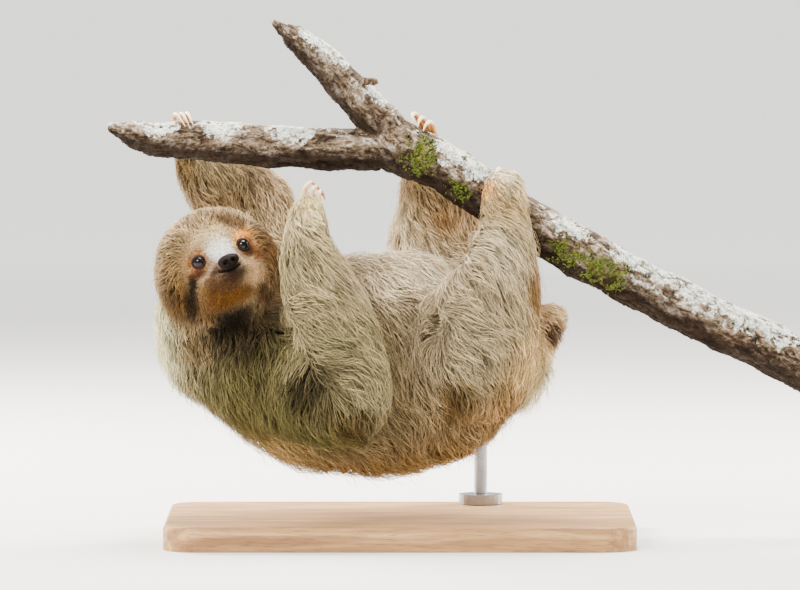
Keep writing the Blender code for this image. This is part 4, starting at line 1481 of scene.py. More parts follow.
@dataclass
class Coat:
    """The sloth's hair: closed, tapered, three-sided tufts laid along the skin in clumps.

    Attributes:
        skin: the finished skin with its rules.
        budget: the most triangles in all.
        piece_limit: the most triangles in a piece.
        strays: the share of hairs that stand off the coat.
        ruffle: where the coat is ruffled up.
        clump: the sides of the large and the small clumps.
        sunk: how deep the roots lie under the skin.
        dark: the share of dark hairs.
        dark_tone: how bright a dark hair is.
        seed: picks another coat.
        random: the coat's own generator.
    """

    skin: Skin
    budget: int = 1_420_000
    piece_limit: int = 190_000
    strays: float = 0.045
    ruffle: Ball = (138, 0, 158, 40)
    clump: tuple[float, float] = (8 * MM, 3.2 * MM)
    sunk: float = 0.8 * MM
    dark: float = 0.22
    dark_tone: float = 0.42
    seed: int = 5
    random: Any = field(init=False)

    def __post_init__(self) -> None:
        """Seeds the coat's own generator."""
        self.random = np.random.default_rng(self.seed)

    def build(self) -> list[Any]:
        """Grows all the tufts and joins them into pieces by flesh node.

        Returns:
            The coat's pieces.
        """
        material = HairFinish().build()
        faces = triangles_of(self.skin.piece.data)
        values = self.skin.values
        gap = values["gap"][faces].mean(axis=1) * 1.0
        wanted = areas_of(values["place"][faces]) / gap**2
        short = values["length"][faces].mean(axis=1) < 9.5 * MM
        cost = np.where(short, Growth.SHORT.triangles, Growth.LONG.triangles)
        wanted = wanted * min(1.0, self.budget / float((wanted * cost).sum()))
        owner = self.skin.owner[faces[:, 0]]
        on_face = values["share"][faces].mean(axis=1) > 0.5
        probe = Probe(self.skin.piece, ("place", "facing", "lie"))
        pieces = []
        for kind, mask in ((Growth.SHORT, short), (Growth.LONG, ~short)):
            tufts = self.roots(faces[mask], wanted[mask], owner[mask], on_face[mask])
            paths = self.march(tufts, probe, kind)
            for name, chosen in self.groups(tufts, kind):
                pieces.append(self.join(name, tufts, paths, chosen, material))
        probe.close()
        return pieces

    def roots(self, faces: Array, wanted: Array, owner: Array, on_face: Array) -> Table:
        """Scatters roots over triangles, evenly along their summed shares.

        Args:
            faces: the skin's triangles.
            wanted: how many roots each should have.
            owner: the number of each triangle's flesh node.
            on_face: whether each triangle is on the short-haired face.

        Returns:
            The roots' values, mixed from the triangles' corners.
        """
        summed = np.cumsum(wanted)
        count = int(summed[-1])
        drawn = (np.arange(count) + self.random.random(count)) / count * summed[-1]
        chosen = np.minimum(np.searchsorted(summed, drawn), len(faces) - 1)
        first, second = self.random.random(count), self.random.random(count)
        fold = first + second > 1
        first, second = np.where(fold, 1 - first, first), np.where(fold, 1 - second, second)
        mix = np.stack([1 - first - second, first, second], axis=1)
        corner = faces[chosen]
        tufts = {}
        for key, values in self.skin.values.items():
            got = values[corner]
            tufts[key] = (got * (mix[:, :, None] if got.ndim == 3 else mix)).sum(axis=1)
        tufts["facing"] = unit(tufts["facing"])
        tufts["owner"] = np.where(on_face[chosen], -1, owner[chosen])
        keep = tufts["bald"] < 0.5
        return {key: values[keep] for key, values in tufts.items()}

    def march(self, tufts: Table, probe: Probe, kind: Growth) -> Table:
        """Walks every tuft along the skin, steering it towards its own height in the coat.

        Each step goes along the lie laid on the skin, turned by a smooth swirl and by the
        clump, plus as much of the normal as is missing from the height wanted there: a sine
        that is highest past the middle of the tuft, and grows under the body, where hair hangs.

        Args:
            tufts: the roots' values.
            probe: what looks up the skin.
            kind: how many lengths a tuft has.

        Returns:
            Points and normals for each level of each tuft, and the tufts' random values.
        """
        draw, root, facing = self.random.random, tufts["place"], tufts["facing"]
        count, lengths = len(root), kind.value
        way, lot = clumps(root, self.clump[0], 40)
        small_way, small_lot = clumps(root, self.clump[1], 70)
        stray = (draw(count) < self.strays) & (tufts["share"] < 0.3)
        layer = 0.3 + 0.95 * draw(count) ** 0.75
        layer = np.where(stray, 1.3 + 0.9 * draw(count), layer)
        ruffled = bell(norms(root / MM - self.ruffle[:3]), self.ruffle[3], 4)
        layer = layer * (1 + 1.5 * draw(count) * ruffled)
        reach = tufts["length"] * (0.7 + 0.45 * draw(count)) * np.where(stray, 1.15, 1.0)
        step = reach / lengths
        place = root - facing * self.sunk
        normal, lie = facing, tufts["lie"]
        height = np.full(count, -self.sunk)
        twist = (lot - 0.5) * 0.7 + (small_lot - 0.5) * 0.5 + self.random.normal(0, 0.12, count)
        points, normals = [place], [normal]
        for level in range(1, lengths + 1):
            share = level / lengths
            lie = lie + 0.45 * swirl(place, 24 * MM, 90) * np.linalg.norm(lie, axis=1, keepdims=True)
            flat = unit(lie - normal * (lie * normal).sum(axis=1, keepdims=True))
            side = np.cross(normal, flat)
            flat = flat * np.cos(twist)[:, None] + side * np.sin(twist)[:, None]
            hang = 1 + 0.7 * share * ease(0.1, -0.8, normal[:, 2])
            aim = tufts["depth"] * layer * hang * math.sin(math.pi * (0.12 + 0.60 * share))
            climb = np.clip((aim - height) / step, -0.6, 0.85)
            place = place + unit(flat + normal * climb[:, None]) * step[:, None]
            nearest, normal, lie = probe.ask(place)
            normal = unit(normal)
            height = ((place - nearest) * normal).sum(axis=1)
            low = np.minimum(height - 0.15 * MM, 0.0) * (level > 1)
            place = place - normal * low[:, None]
            height = height - low
            points.append(place)
            normals.append(normal)
        for level in range(1, lengths + 1):
            share = level / lengths
            for offset, pull in ((way, 0.35), (small_way, 0.6)):
                inward = offset - facing * (offset * facing).sum(axis=1, keepdims=True)
                points[level] = points[level] + inward * (pull * share**1.3) * (~stray)[:, None]
        wild = 1 - 0.7 * tufts["share"]
        tone = 1 + wild * (0.5 * (lot - 0.5) + 0.45 * (small_lot - 0.5) + self.random.normal(0, 0.16, count))
        dark = draw(count) < self.dark * wild
        return {"points": np.stack(points), "normals": np.stack(normals), "stray": stray,
                "tone": np.maximum(np.where(dark, tone * self.dark_tone, tone), 0.15)}

    def groups(self, tufts: Table, kind: Growth) -> list[tuple[str, Array]]:
        """Splits the tufts by flesh node, and a node with too many of them along X.

        Args:
            tufts: the roots' values.
            kind: how many lengths a tuft has.

        Returns:
            A name and the tufts' numbers for each piece.
        """
        made = []
        for number in np.unique(tufts["owner"]):
            chosen = np.flatnonzero(tufts["owner"] == number)
            if len(chosen) < 8:
                continue
            parts = int(np.ceil(len(chosen) * kind.triangles / self.piece_limit))
            chosen = chosen[np.argsort(tufts["place"][chosen, 0], kind="stable")]
            name = "face" if number < 0 else RULES[int(number)].node
            for part, few in enumerate(np.array_split(chosen, parts)):
                made.append((f"coat_{name}_{kind.name.lower()}_{part + 1}", few))
        return made

    def join(self, name: str, tufts: Table, paths: Table, chosen: Array,
             material: Any) -> Any:
        """Wraps three-sided tapered walls round the chosen paths and joins them.

        A ring is a low triangle: two corners half a breadth to each side, one on the ridge.

        Args:
            name: the piece's name.
            tufts: the roots' values.
            paths: levels and random values from march.
            chosen: the numbers of the tufts.
            material: the hair.

        Returns:
            The piece.
        """
        points = paths["points"][:, chosen]
        normals = paths["normals"][:, chosen]
        levels, count = points.shape[:2]
        along = unit(np.gradient(points, axis=0))
        side = unit(np.cross(along, normals))
        ridge = np.cross(side, along)
        share = np.linspace(0, 1, levels)
        taper = np.interp(share, [0.0, 0.3, 0.75, 1.0], [0.75, 1.0, 0.6, 0.0])
        thin = np.where(paths["stray"][chosen], 0.5, 1.0)
        half = taper[:, None] * (tufts["breadth"][chosen] * thin) / 2
        rings = np.stack([points - side * half[:, :, None], points + ridge * half[:, :, None] * 0.8,
                          points + side * half[:, :, None]], axis=2)[:-1]
        verts = np.concatenate([rings.transpose(1, 0, 2, 3).reshape(count, -1, 3),
                                points[-1][:, None, :]], axis=1)
        per = verts.shape[1]
        pattern, places = [], []
        for level in range(levels - 2):
            low, high = 3 * level, 3 * level + 3
            for k in range(3):
                after = (k + 1) % 3
                pattern += [(low + k, low + after, high + after), (low + k, high + after, high + k)]
                places += [((k, level), (k + 1, level), (k + 1, level + 1)),
                           ((k, level), (k + 1, level + 1), (k, level + 1))]
        top = 3 * (levels - 2)
        for k in range(3):
            pattern.append((top + k, top + (k + 1) % 3, per - 1))
            places.append(((k, levels - 2), (k + 1, levels - 2), (k + 0.5, levels - 1)))
        pattern.append((2, 1, 0))
        places.append(((0, 0.4), (1.5, 0), (3, 0.4)))
        faces = (np.arange(count) * per)[:, None, None] + np.array(pattern)
        piece = make_object(name, verts.reshape(-1, 3), faces.reshape(-1, 3), "coat")
        level_of = np.concatenate([np.repeat(share[:-1], 3), [1.0]])
        short = tufts["share"][chosen][:, None]
        # Painted shade: each tuft darkens towards its root, deep in the coat, and brightens towards its tip.
        bright = 0.22 + 0.22 * short + (1.15 - 0.37 * short) * level_of**0.8
        base = tufts[COLOUR][chosen]
        base = base * (base / base.max(axis=1, keepdims=True)) ** 0.15
        colour = base[:, None, :] * bright[:, :, None] * paths["tone"][chosen][:, None, None]
        pale = (level_of**2 * 0.08)[None, :, None]
        colour = colour * (1 - pale) + tint("efe2c6") * pale * colour.max(axis=2, keepdims=True) * 1.4
        store(piece.data, COLOUR, colour.reshape(-1, 3))
        patch = (np.array(places, float) / (3, levels - 1) - 0.5) * PATCH
        layer = piece.data.uv_layers.new(name="OFBake")
        spots = self.unwrap(tufts["place"][chosen])
        layer.uv.foreach_set("vector", (spots[:, None, None, :] + patch).ravel())
        dress(piece, material)
        return piece

    def unwrap(self, roots: Array) -> Array:
        """Unrolls the skin under the roots: the angle round its long axis, and how far along.

        Args:
            roots: N x 3 places.

        Returns:
            N x 2 places in the bake map, clear of its edges.
        """
        middle = roots.mean(axis=0)
        _, _, axes = np.linalg.svd((roots - middle)[:: max(1, len(roots) // 4000)], full_matrices=False)
        local = (roots - middle) @ axes.T
        angle = np.arctan2(local[:, 2], local[:, 1]) / (2 * math.pi) + 0.5
        along = (local[:, 0] - local[:, 0].min()) / np.ptp(local[:, 0])
        return PATCH + (1 - 2 * PATCH) * np.stack([angle, along], axis=1)


# ---- eyes, lids and nose


def closed_ball(rows: int, columns: int) -> tuple[Array, Array]:
    """Makes a unit ball about +Z from rings of points and one point at each pole.

    Args:
        rows: rings between the poles.
        columns: points in a ring.

    Returns:
        The points and the triangles.
    """
    polar = np.pi * np.arange(1, rows + 1) / (rows + 1)
    p, t = np.meshgrid(polar, turns(columns), indexing="ij")
    ring = np.stack([np.sin(p) * np.cos(t), np.sin(p) * np.sin(t), np.cos(p)], axis=2)
    points = np.concatenate([ring.reshape(-1, 3), [[0, 0, 1.0]], [[0, 0, -1.0]]])
    last = rows * columns
    return points, np.concatenate([
        split_quads(grid_faces(rows, columns)[:, ::-1]), cap_faces(0, columns, last),
        cap_faces(last - columns, columns, last + 1, turned=True)])


@dataclass
class Eyes:
    """The two eyes, with their pupil, iris and cornea, and the lids round them.

    Attributes:
        face: the head's frame.
        pupil: the pupil's half angle, in radians.
        iris: the iris's half angle.
        bulge: how far the cornea stands over the ball.
        opening: half the breadth of the gap between the lids.
        rim: the lids' thickness.
        hem: how far out the lids run, under the skin.
        sides: points round the lids.
        ball_radius: the ball's radius without the bulge.
    """

    face: Face
    pupil: float = 0.46
    iris: float = 1.05
    bulge: float = 0.3 * MM
    opening: float = 5.1 * MM
    rim: float = 0.36 * MM
    hem: float = 7.2 * MM
    sides: int = 64
    ball_radius: float = field(init=False, default=0.0)

    def frame_of(self, name: str) -> Array:
        """Gives an eye's own across, up and gaze axes as rows."""
        gaze = self.face.gaze(name)
        across = unit(self.face.axes[0] - gaze * (self.face.axes[0] @ gaze))
        return np.stack([across, np.cross(gaze, across), gaze])

    def build(self) -> list[Any]:
        """Makes both eyes and both rings of lid.

        Returns:
            The four pieces.
        """
        self.ball_radius = self.face.eye_radius - 0.1 * MM - self.bulge
        cornea = CorneaFinish().build()
        skin = MoistSkinFinish("lid_skin", "120905", "2e160d", roughness=0.7, wet=0.15).build()
        made = []
        for name in self.face.eyes:
            made += [self.ball(name, cornea), self.lids(name, skin)]
        return made

    def ball(self, name: str, material: Any) -> Any:
        """Makes an eye: a ball whose front bulges over the iris as a cosine hump.

        Args:
            name: the eye's CAD node.
            material: the cornea's.

        Returns:
            The piece.
        """
        points, faces = closed_ball(46, 40)
        polar = np.arccos(np.clip(points[:, 2], -1, 1))
        hump = self.bulge * np.cos(np.clip(polar / self.iris, 0, 1) * np.pi / 2)
        radius = self.ball_radius + hump
        places = (points * radius[:, None]) @ self.frame_of(name) + self.face.eyes[name]
        piece = make_object(f"{name}_ball", places, faces, "eye")
        stops = (0.0, self.pupil, self.pupil + 0.06, self.iris - 0.08, self.iris, 1.2)
        codes = ("020202", "030303", "150c06", "1e130a", "080504", "0c0706")
        tones = np.array([tint(code) for code in codes])
        colour = np.stack([np.interp(polar, stops, tones[:, k]) for k in range(3)], axis=1)
        store(piece.data, COLOUR, colour)
        dress(piece, material)
        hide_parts(name)
        return piece

    def lids(self, name: str, material: Any) -> Any:
        """Makes the lids as one ring: a profile from the ball over the margin to the skin.

        The margin lies on the ball, at the height sqrt(radius^2 - distance^2); the gap between
        the lids is lower than it is broad, most of all under the upper lid, and runs out to a
        corner on the side of the nose.

        Args:
            name: the eye's CAD node.
            material: the bare skin.

        Returns:
            The piece.
        """
        turn = turns(self.sides)
        upper = np.maximum(np.sin(turn), 0.0)
        nasal = np.pi if name == "eye_left" else 0.0
        corner = bell(np.angle(np.exp(1j * (turn - nasal))), 0.36)
        tall = 0.90 - 0.09 * upper**2
        x, y = np.cos(turn) * (1 + 0.08 * corner), np.sin(turn) * tall
        margin = np.hypot(x, y) * self.opening
        heading = np.stack([x, y], axis=1) / np.hypot(x, y)[:, None]
        seat = np.sqrt(np.maximum(self.ball_radius**2 - margin**2, MM**2))
        thick = self.rim * (1 + 0.5 * upper)
        out = np.stack([margin - 0.4 * MM, margin, margin + 0.7 * thick, margin + 1.6 * thick,
                        0.5 * (margin + 1.6 * thick + self.hem), np.full(self.sides, self.hem)])
        rise = np.stack([seat - 0.8 * MM, seat + 0.3 * MM, seat + 0.3 * MM + 0.8 * thick,
                         seat + 0.2 * MM + 0.6 * thick, 0.5 * seat + 0.9 * MM, np.full(self.sides, 0.3 * MM)])
        fold = 0.12 * MM * np.cos(turn * 11.0) * bell(np.arange(len(out)) - 4.0)[:, None]
        local = np.concatenate([out[:, :, None] * heading, (rise + fold)[:, :, None]], axis=2)
        places = local.reshape(-1, 3) @ self.frame_of(name) + self.face.eyes[name]
        piece = make_object(f"{name}_lids", places, grid_faces(len(out), self.sides), "face_coat")
        add_modifier(piece, "SOLIDIFY", thickness=0.4 * MM, offset=-1.0)
        add_modifier(piece, "SUBSURF", levels=1, render_levels=1)
        dress(piece, material)
        return piece


@dataclass
class Nose:
    """The bare nose pad with its two nostrils and the furrow under them.

    Attributes:
        face: the head's frame.
        half: half its breadth, height and reach.
        nostril: a nostril's place across and up, as shares of the half sizes.
        pit: a nostril's depth.
    """

    face: Face
    half: Triple = (9.8 * MM, 6.3 * MM, 5.8 * MM)
    nostril: tuple[float, float] = (0.38, -0.08)
    pit: float = 3 * MM

    def build(self) -> Any:
        """Makes the pad: a ball squared off a little, broader at the top, with gaussian pits.

        Returns:
            The piece.
        """
        points, faces = closed_ball(90, 96)
        squared = np.sign(points) * np.abs(points) ** 0.86
        squared = squared / np.maximum(np.linalg.norm(squared, axis=1, keepdims=True), 1e-9) ** 0.5
        across, up, out = squared.T
        across = across * (1 + 0.10 * up)
        shape = np.stack([across, up, out], axis=1) * self.half
        front = ease(0.1, 0.6, points[:, 2])
        for side in (-1.0, 1.0):
            dx = (across - side * self.nostril[0]) / 0.20
            dy = (up - self.nostril[1] + 0.25 * side * (across - side * self.nostril[0])) / 0.26
            hole = bell(dx**2 + dy**2, power=1.5)
            ring = np.exp(-((np.sqrt(dx**2 + dy**2) - 1.7) ** 2) / 0.35)
            shape[:, 2] += front * (0.45 * MM * ring - self.pit * hole)
        furrow = bell(across, 0.07) * ease(0.1, -0.4, up)
        shape[:, 2] -= 0.6 * MM * furrow * front
        shape[:, 2] += 0.12 * MM * fractal_noise(shape / (1.6 * MM), 31) * front
        centre = (0.0, self.face.nose_up, self.face.nose_out)
        piece = make_object("nose_pad", self.face.outward(shape + centre), faces, "nose")
        dress(piece, MoistSkinFinish("nose_skin", "080504", "1b110c", roughness=0.55, wet=0.07).build())
        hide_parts("nose")
        return piece


@dataclass
class Claws:
    """The twelve hook claws, kept as their solids and smoothed.

    Attributes:
        levels: how many times each face is cut in four.
    """

    levels: int = 2

    def build(self) -> list[Any]:
        """Smooths and dresses the claw solids.

        Returns:
            The claw nodes.
        """
        horn = HornFinish().build()
        made = [piece for name, piece in NODES.items() if name.startswith("claw_")]
        for piece in made:
            add_modifier(piece, "WELD", merge_threshold=0.01 * MM)
            add_modifier(piece, "SUBSURF", levels=self.levels, render_levels=self.levels)
            dress(piece, horn)
        return made


# ---- branch


@dataclass
class Branch:
    """The forked branch: bark worked over its solids, moss cushions and a broken twig.

    Attributes:
        voxel: the grid that the branch is remeshed on.
        relief: the height of the bark's plates.
        knots: where the knots are.
        cushions: where moss grows.
        crusts: where lichen is thick.
        leaf_gap: the mean distance between the moss's leaves.
        seed: picks other leaves.
    """

    voxel: float = 1.25 * MM
    relief: float = 2 * MM
    knots: tuple[Ball, ...] = (
        (-150, -12, 342, 7), (-60, -16, 362, 8), (36, -20, 348, 9), (180, -20, 262, 9),
        (250, -10, 224, 8), (-40, -14, 398, 7), (300, -18, 186, 8))
    cushions: tuple[Ball, ...] = (
        (18, -18, 346, 16), (58, -18, 313, 9), (143, -16, 262, 11), (176, -18, 246, 13),
        (192, -20, 238, 13), (48, -22, 318, 8), (158, -18, 254, 10))
    crusts: tuple[Ball, ...] = (
        (-100, 0, 372, 26), (-160, 0, 372, 20), (-66, -8, 444, 28), (-20, -8, 404, 17),
        (40, -12, 342, 26), (66, -18, 336, 20), (205, -14, 246, 26), (232, -14, 232, 22),
        (268, -10, 214, 30), (330, -10, 180, 34), (-215, 0, 372, 20), (150, -18, 276, 20),
        (226, -18, 240, 30), (306, -14, 194, 36))
    leaf_gap: float = 0.9 * MM
    seed: int = 12

    def build(self) -> list[Any]:
        """Makes the bark, the moss and the twig.

        Returns:
            The three pieces.
        """
        names = ("perch_main", "perch_spur", "perch_side_arm")
        copy = joined_copy("branch_copy", names, 0.3 * MM)
        mesh = with_modifier(copy, "REMESH", mode="VOXEL", voxel_size=self.voxel)
        bark = in_scene("bark", mesh)
        points = spread(points_of(mesh), edges_of(mesh), 3)
        grain = self.straightened(points, owners_from(copy, points), names)
        move_points(mesh, points)
        normals = unit(spread(normals_of(mesh), edges_of(mesh), 4))
        height, relief = self.height(points, grain)
        points = points + normals * height[:, None]
        move_points(mesh, points)
        mesh.shade_smooth()
        store(mesh, "grain", grain)
        store(mesh, "masks", self.masks(points, normals))
        store(mesh, "relief", relief)
        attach(bark, ROOT)
        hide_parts(*names)
        dress(bark, BarkFinish().build())
        return [bark, self.moss(bark), self.twig(bark)]

    def straightened(self, points: Array, owner: Array, names: tuple[str, ...]) -> Array:
        """Gives each point its place as if its limb lay straight along Z.

        Args:
            points: N x 3 places.
            owner: the number of each point's limb.
            names: the limbs' nodes.

        Returns:
            Two places across the limb and one along it, in metres.
        """
        grain = np.zeros_like(points)
        for number, name in enumerate(names):
            solid = points_of(NODES[name].data)
            middle = solid.mean(axis=0)
            _, _, axes = np.linalg.svd(solid - middle, full_matrices=False)
            axis = axes[0] * (1.0 if axes[0][0] > 0 else -1.0)
            first = unit(np.cross(axis, (0.0, 1.0, 0.0)))
            basis = np.stack([first, np.cross(axis, first), axis], axis=1)
            mine = owner == number
            grain[mine] = (points[mine] - middle) @ basis
        return grain

    def height(self, points: Array, grain: Array) -> tuple[Array, Array]:
        """Raises plates, cracks and knots on the bark.

        The plates are terraces: a noise drawn out along the limb and cut into steep steps.
        The cracks are narrow valleys where a second noise crosses nought, and knots are
        cosine humps with a hollow in the middle.

        Args:
            points: N x 3 places.
            grain: the straightened places.

        Returns:
            How far each point is moved out, and N x 3 values: how worn it is, how deep it lies
            in a crack, and nought.
        """
        bent = grain + 2.5 * MM * swirl(points, 9 * MM, 5)
        terrace = 3.4 * fractal_noise(bent * (1, 1, 0.42) / (8 * MM), 3, 3)
        step = np.floor(terrace)
        part = terrace - step
        plates = (step + ease(0.6, 0.95, part)) / 3.4
        valley = fractal_noise(bent * (1, 1, 0.28) / (7 * MM), 29, 2)
        crack = np.maximum(bell(valley, 0.06), 0.75 * bell(part - 0.66, 0.10))
        rough = fractal_noise(points / (2.4 * MM), 23, 2)
        height = self.relief * (0.85 * np.clip(plates, -1, 1) + 0.25 * rough - 0.55 * crack)
        for *middle, radius in self.knots:
            far = norms(points / MM - middle) / radius
            hump = np.where(far < 1, 0.5 + 0.5 * np.cos(np.pi * np.clip(far, 0, 1)), 0)
            height += hump * 2.2 * MM * (1 - 0.8 * bell(far, 0.35))
        return height, np.stack([0.12 * plates + 0.05, crack, 0 * crack], axis=1)

    def near(self, points: Array, places: tuple[Ball, ...]) -> Array:
        """Gives the strongest of the places' soft shares at each point.

        Args:
            points: N x 3 places.
            places: middles and radii, in millimetres.

        Returns:
            N shares from 0 to 1.
        """
        share = np.zeros(len(points))
        for *middle, radius in places:
            far = norms((points / MM - middle) * (1, 0.6, 1))
            share = np.maximum(share, bell(far, radius, 4))
        return share

    def masks(self, points: Array, normals: Array) -> Array:
        """Works out how ready each point is for lichen and moss, and how much painted shade darkens it from
        below.

        Args:
            points: N x 3 places.
            normals: N x 3 directions.

        Returns:
            Lichen, moss and the underside's painted shade as three values for each point.
        """
        up = ease(-0.35, 0.7, normals[:, 2])
        lichen = 0.08 + 0.22 * up + 0.17 * self.near(points, self.crusts)
        moss = 0.58 * self.near(points, self.cushions) + 0.1 * ease(0.4, -0.6, normals[:, 2])
        # Painted shade: the faces that look down are darkened, as if in the branch's own shadow.
        underside_shade = 0.94 * ease(0.15, -0.45, normals[:, 2])
        return np.stack([lichen - 0.3 * moss, moss, underside_shade], axis=1)

    def moss(self, bark: Any) -> Any:
        """Grows short three-sided leaves on the bark where the moss mask is high.

        Args:
            bark: the bark piece.

        Returns:
            The piece.
        """
        random = np.random.default_rng(self.seed)
        faces = triangles_of(bark.data)
        points, normals = points_of(bark.data), normals_of(bark.data)
        middle = points[faces].mean(axis=1)
        share = self.near(middle, self.cushions) * ease(-0.1, 0.25, fractal_noise(middle / (4 * MM), 61))
        wanted = areas_of(points[faces]) / self.leaf_gap**2 * np.clip(share, 0, 1)
        summed = np.cumsum(wanted)
        count = int(summed[-1])
        chosen = np.minimum(np.searchsorted(summed, random.random(count) * summed[-1]), len(faces) - 1)
        mix = random.dirichlet((1, 1, 1), count)[:, :, None]
        root = (points[faces[chosen]] * mix).sum(axis=1)
        normal = unit((normals[faces[chosen]] * mix).sum(axis=1))
        lean = unit(normal + 0.75 * random.normal(0, 0.6, (count, 3)) + (0, 0, 0.15))
        length = (1.4 + 2.2 * random.random(count))[:, None] * MM
        side = unit(np.cross(lean, random.normal(0, 1, (count, 3))))
        other = np.cross(lean, side)
        half = (0.45 + 0.3 * random.random(count))[:, None] * MM
        base = root - normal * 0.4 * MM
        verts = [base + side * half, base - 0.5 * side * half + 0.87 * other * half,
                 base - 0.5 * side * half - 0.87 * other * half]
        bend = lean + 0.5 * side
        waist = [v + lean * length * 0.55 for v in verts]
        tip = base + unit(bend) * length
        every = np.stack([*verts, *waist, tip], axis=1)
        pattern = [(0, 1, 4), (0, 4, 3), (1, 2, 5), (1, 5, 4), (2, 0, 3), (2, 3, 5),
                   (3, 4, 6), (4, 5, 6), (5, 3, 6), (2, 1, 0)]
        joined = (np.arange(count) * 7)[:, None, None] + np.array(pattern)
        piece = make_object("moss_cushions", every.reshape(-1, 3), joined.reshape(-1, 3), "bark")
        tone = (0.25 + 0.95 * random.random(count))[:, None, None]
        # Painted shade: each leaf darkens towards its base, in the depth of the cushion.
        rise = np.array([0.35, 0.35, 0.35, 0.8, 0.8, 0.8, 1.15])[None, :, None]
        colour = tint("76821f") * tone * rise
        store(piece.data, COLOUR, colour.reshape(-1, 3))
        dress(piece, MossFinish().build())
        return piece

    def twig(self, bark: Any) -> Any:
        """Makes the stub of a broken twig on the spur: a ring carried along a bent path.

        Args:
            bark: the bark, whose material and grain it shares.

        Returns:
            The piece.
        """
        share = np.linspace(0, 1, 9)
        path = np.stack([14 * share, -2 * share, 4 * share - 5 * share**2], axis=1) + (-34, -14, 412)
        radius = np.interp(share, [0, 0.3, 0.75, 0.9, 1.0], [4.6, 3.4, 3.6, 3.0, 0.6])
        sides = 18
        turn = turns(sides)
        along = unit(np.gradient(path, axis=0))
        first = unit(np.cross(along, (0.0, 1.0, 0.0)))
        second = np.cross(along, first)
        ring = path[:, None] + radius[:, None, None] * (
            first[:, None] * np.cos(turn)[:, None] + second[:, None] * np.sin(turn)[:, None])
        places = ring.reshape(-1, 3)
        places = places + 0.5 * swirl(places, 3.0, 9) + 0.3 * swirl(places, 1.3, 19)
        ends = np.array([path[0], path[-1] + along[-1] * 0.8])
        places = np.concatenate([places, ends]) * MM
        last = len(share) * sides
        faces = np.concatenate([
            split_quads(grid_faces(len(share), sides)), cap_faces(0, sides, last, turned=True),
            cap_faces(last - sides, sides, last + 1)])
        piece = make_object("twig_stub", places, faces, "bark")
        store(piece.data, "grain", places)
        # The third value lays the underside's painted shade evenly over the whole twig, at three tenths.
        store(piece.data, "masks", np.tile((0.1, 0.0, 0.3), (len(places), 1)))
        store(piece.data, "relief", 0.03 * swirl(places, 3 * MM, 27))
        dress(piece, bark.data.materials[0])
        return piece


# ---- stand and studio


class Stand:
    """The display stand's solids with their finishes: an oak base and satin steel rods."""

    def build(self) -> list[Any]:
        """Dresses the stand's nodes.

        Returns:
            The stand's nodes.
        """
        oak, steel = OakFinish().build(), SteelFinish().build()
        made = [piece for name, piece in NODES.items() if name.startswith("stand_")]
        for piece in made:
            dress(piece, oak if piece.name == "stand_base" else steel)
        return made


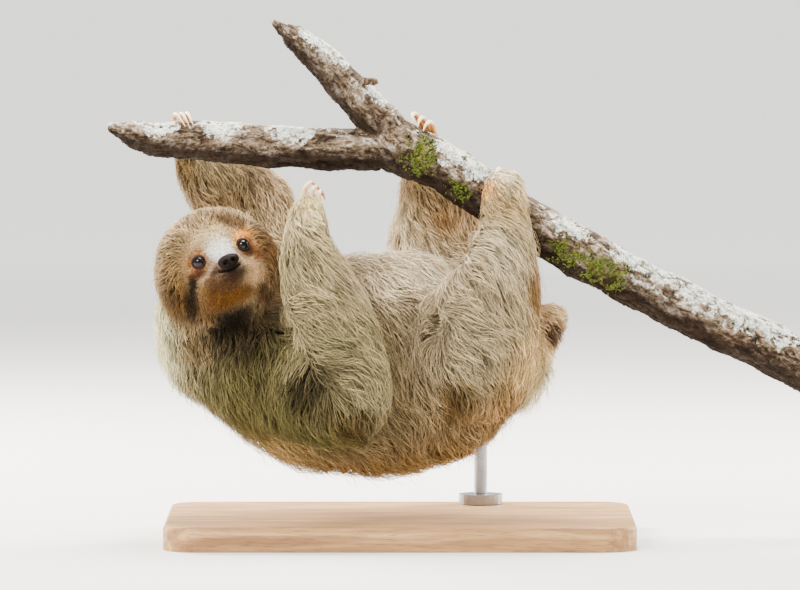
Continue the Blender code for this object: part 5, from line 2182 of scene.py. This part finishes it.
@dataclass
class Studio:
    """The pale floor, the soft lights and the camera.

    Attributes:
        distance: from the camera to what it looks at.
        rise: the camera's height over it, in degrees.
        lens: focal length in millimetres on a sensor 36 mm wide.
        target: what the camera looks at.
        floor: the floor's radius.
        fill: the world's light on the animal.
        backdrop: the world's light behind it.
    """

    distance: float = 6.0
    rise: float = 3.2
    lens: float = 300.0
    target: Triple = (0.0, 0.0, 0.220)
    floor: float = 200.0
    fill: float = 0.95
    backdrop: float = 2.2

    def build(self) -> None:
        """Sets up the floor, the world, the lamps and the camera."""
        self.ground()
        self.sky()
        self.lamp("key_light", (-1.3, -1.9, 2.0), 0.8, 150.0, (1.0, 0.98, 0.95))
        self.lamp("top_light", (0.1, 0.5, 2.1), 1.2, 170.0, (1.0, 0.97, 0.92))
        self.lamp("rim_left", (-1.5, 1.3, 1.2), 0.8, 190.0, (1.0, 0.95, 0.86))
        self.lamp("rim_right", (1.7, 1.1, 1.0), 0.8, 120.0, (1.0, 0.96, 0.88))
        self.eye_point()

    def ground(self) -> None:
        """Lays the floor: a disc of rings whose radius grows, so that it reaches the horizon."""
        radii = np.array([0.5, 2.0, 10.0, 50.0, self.floor])
        sides = 64
        turn = turns(sides)
        ring = radii[:, None, None] * np.stack([np.cos(turn), np.sin(turn), 0 * turn], axis=1)
        points = np.concatenate([ring.reshape(-1, 3), [[0, 0, 0]]])
        walls = split_quads(grid_faces(len(radii), sides)[:, ::-1])
        middle = cap_faces(0, sides, len(points) - 1)
        floor = make_object("floor", points, np.concatenate([walls, middle]))
        dress(floor, PaperFinish().build())

    def sky(self) -> None:
        """Fills the world with an even pale light, brighter where the camera sees it."""
        world = bpy.data.worlds.new("studio")
        world.use_nodes = True
        tree = world.node_tree
        backdrop = tree.nodes["Background"]
        backdrop.inputs[0].default_value = linear("f4f6f5")
        seen = node(tree, "LightPath")
        level = node(tree, "MapRange", {
            "Value": seen.outputs["Is Camera Ray"], "To Min": self.fill, "To Max": self.backdrop})
        tree.links.new(level.outputs[0], backdrop.inputs[1])
        bpy.context.scene.world = world

    def lamp(self, name: str, place: Triple, size: float, power: float,
             colour: Triple) -> None:
        """Hangs one square soft box that faces the animal.

        Args:
            name: the lamp's name.
            place: where it hangs.
            size: the side of the box.
            power: its watts.
            colour: its linear colour.
        """
        data = bpy.data.lights.new(name, "AREA")
        data.shape = "SQUARE"
        data.size = size
        data.energy = power
        data.color = colour
        lamp = in_scene(name, data)
        lamp.location = place
        lamp.rotation_euler = (Vector(self.target) - Vector(place)).to_track_quat("-Z", "Y").to_euler()

    def eye_point(self) -> None:
        """Places the camera in front of the animal, a little over it."""
        data = bpy.data.cameras.new("camera")
        data.sensor_width = 36.0
        data.lens = self.lens
        data.clip_end = 500.0
        camera = in_scene("camera", data)
        rise = math.radians(self.rise)
        away = Vector((0.0, -math.cos(rise), math.sin(rise))) * self.distance
        camera.location = Vector(self.target) + away
        camera.rotation_euler = (-away).to_track_quat("-Z", "Y").to_euler()
        bpy.context.scene.camera = camera


def report(label: str, made: list[Any]) -> None:
    """Logs each piece's name with its faces."""
    for piece in made:
        LOG.info("%s: %s, %d faces", label, piece.name, len(piece.data.polygons))


def main() -> None:
    """Builds the sub-assemblies in order."""
    logging.basicConfig(level=logging.INFO, format="%(message)s")
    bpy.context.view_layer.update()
    Studio().build()
    face = Face()
    skin = Skin(face)
    report("skin", [skin.build()])
    report("coat", Coat(skin).build())
    report("eyes", Eyes(face).build())
    report("nose", [Nose(face).build()])
    report("claws", Claws().build())
    report("branch", Branch().build())
    report("stand", Stand().build())


if __name__ == "__main__":
    main()
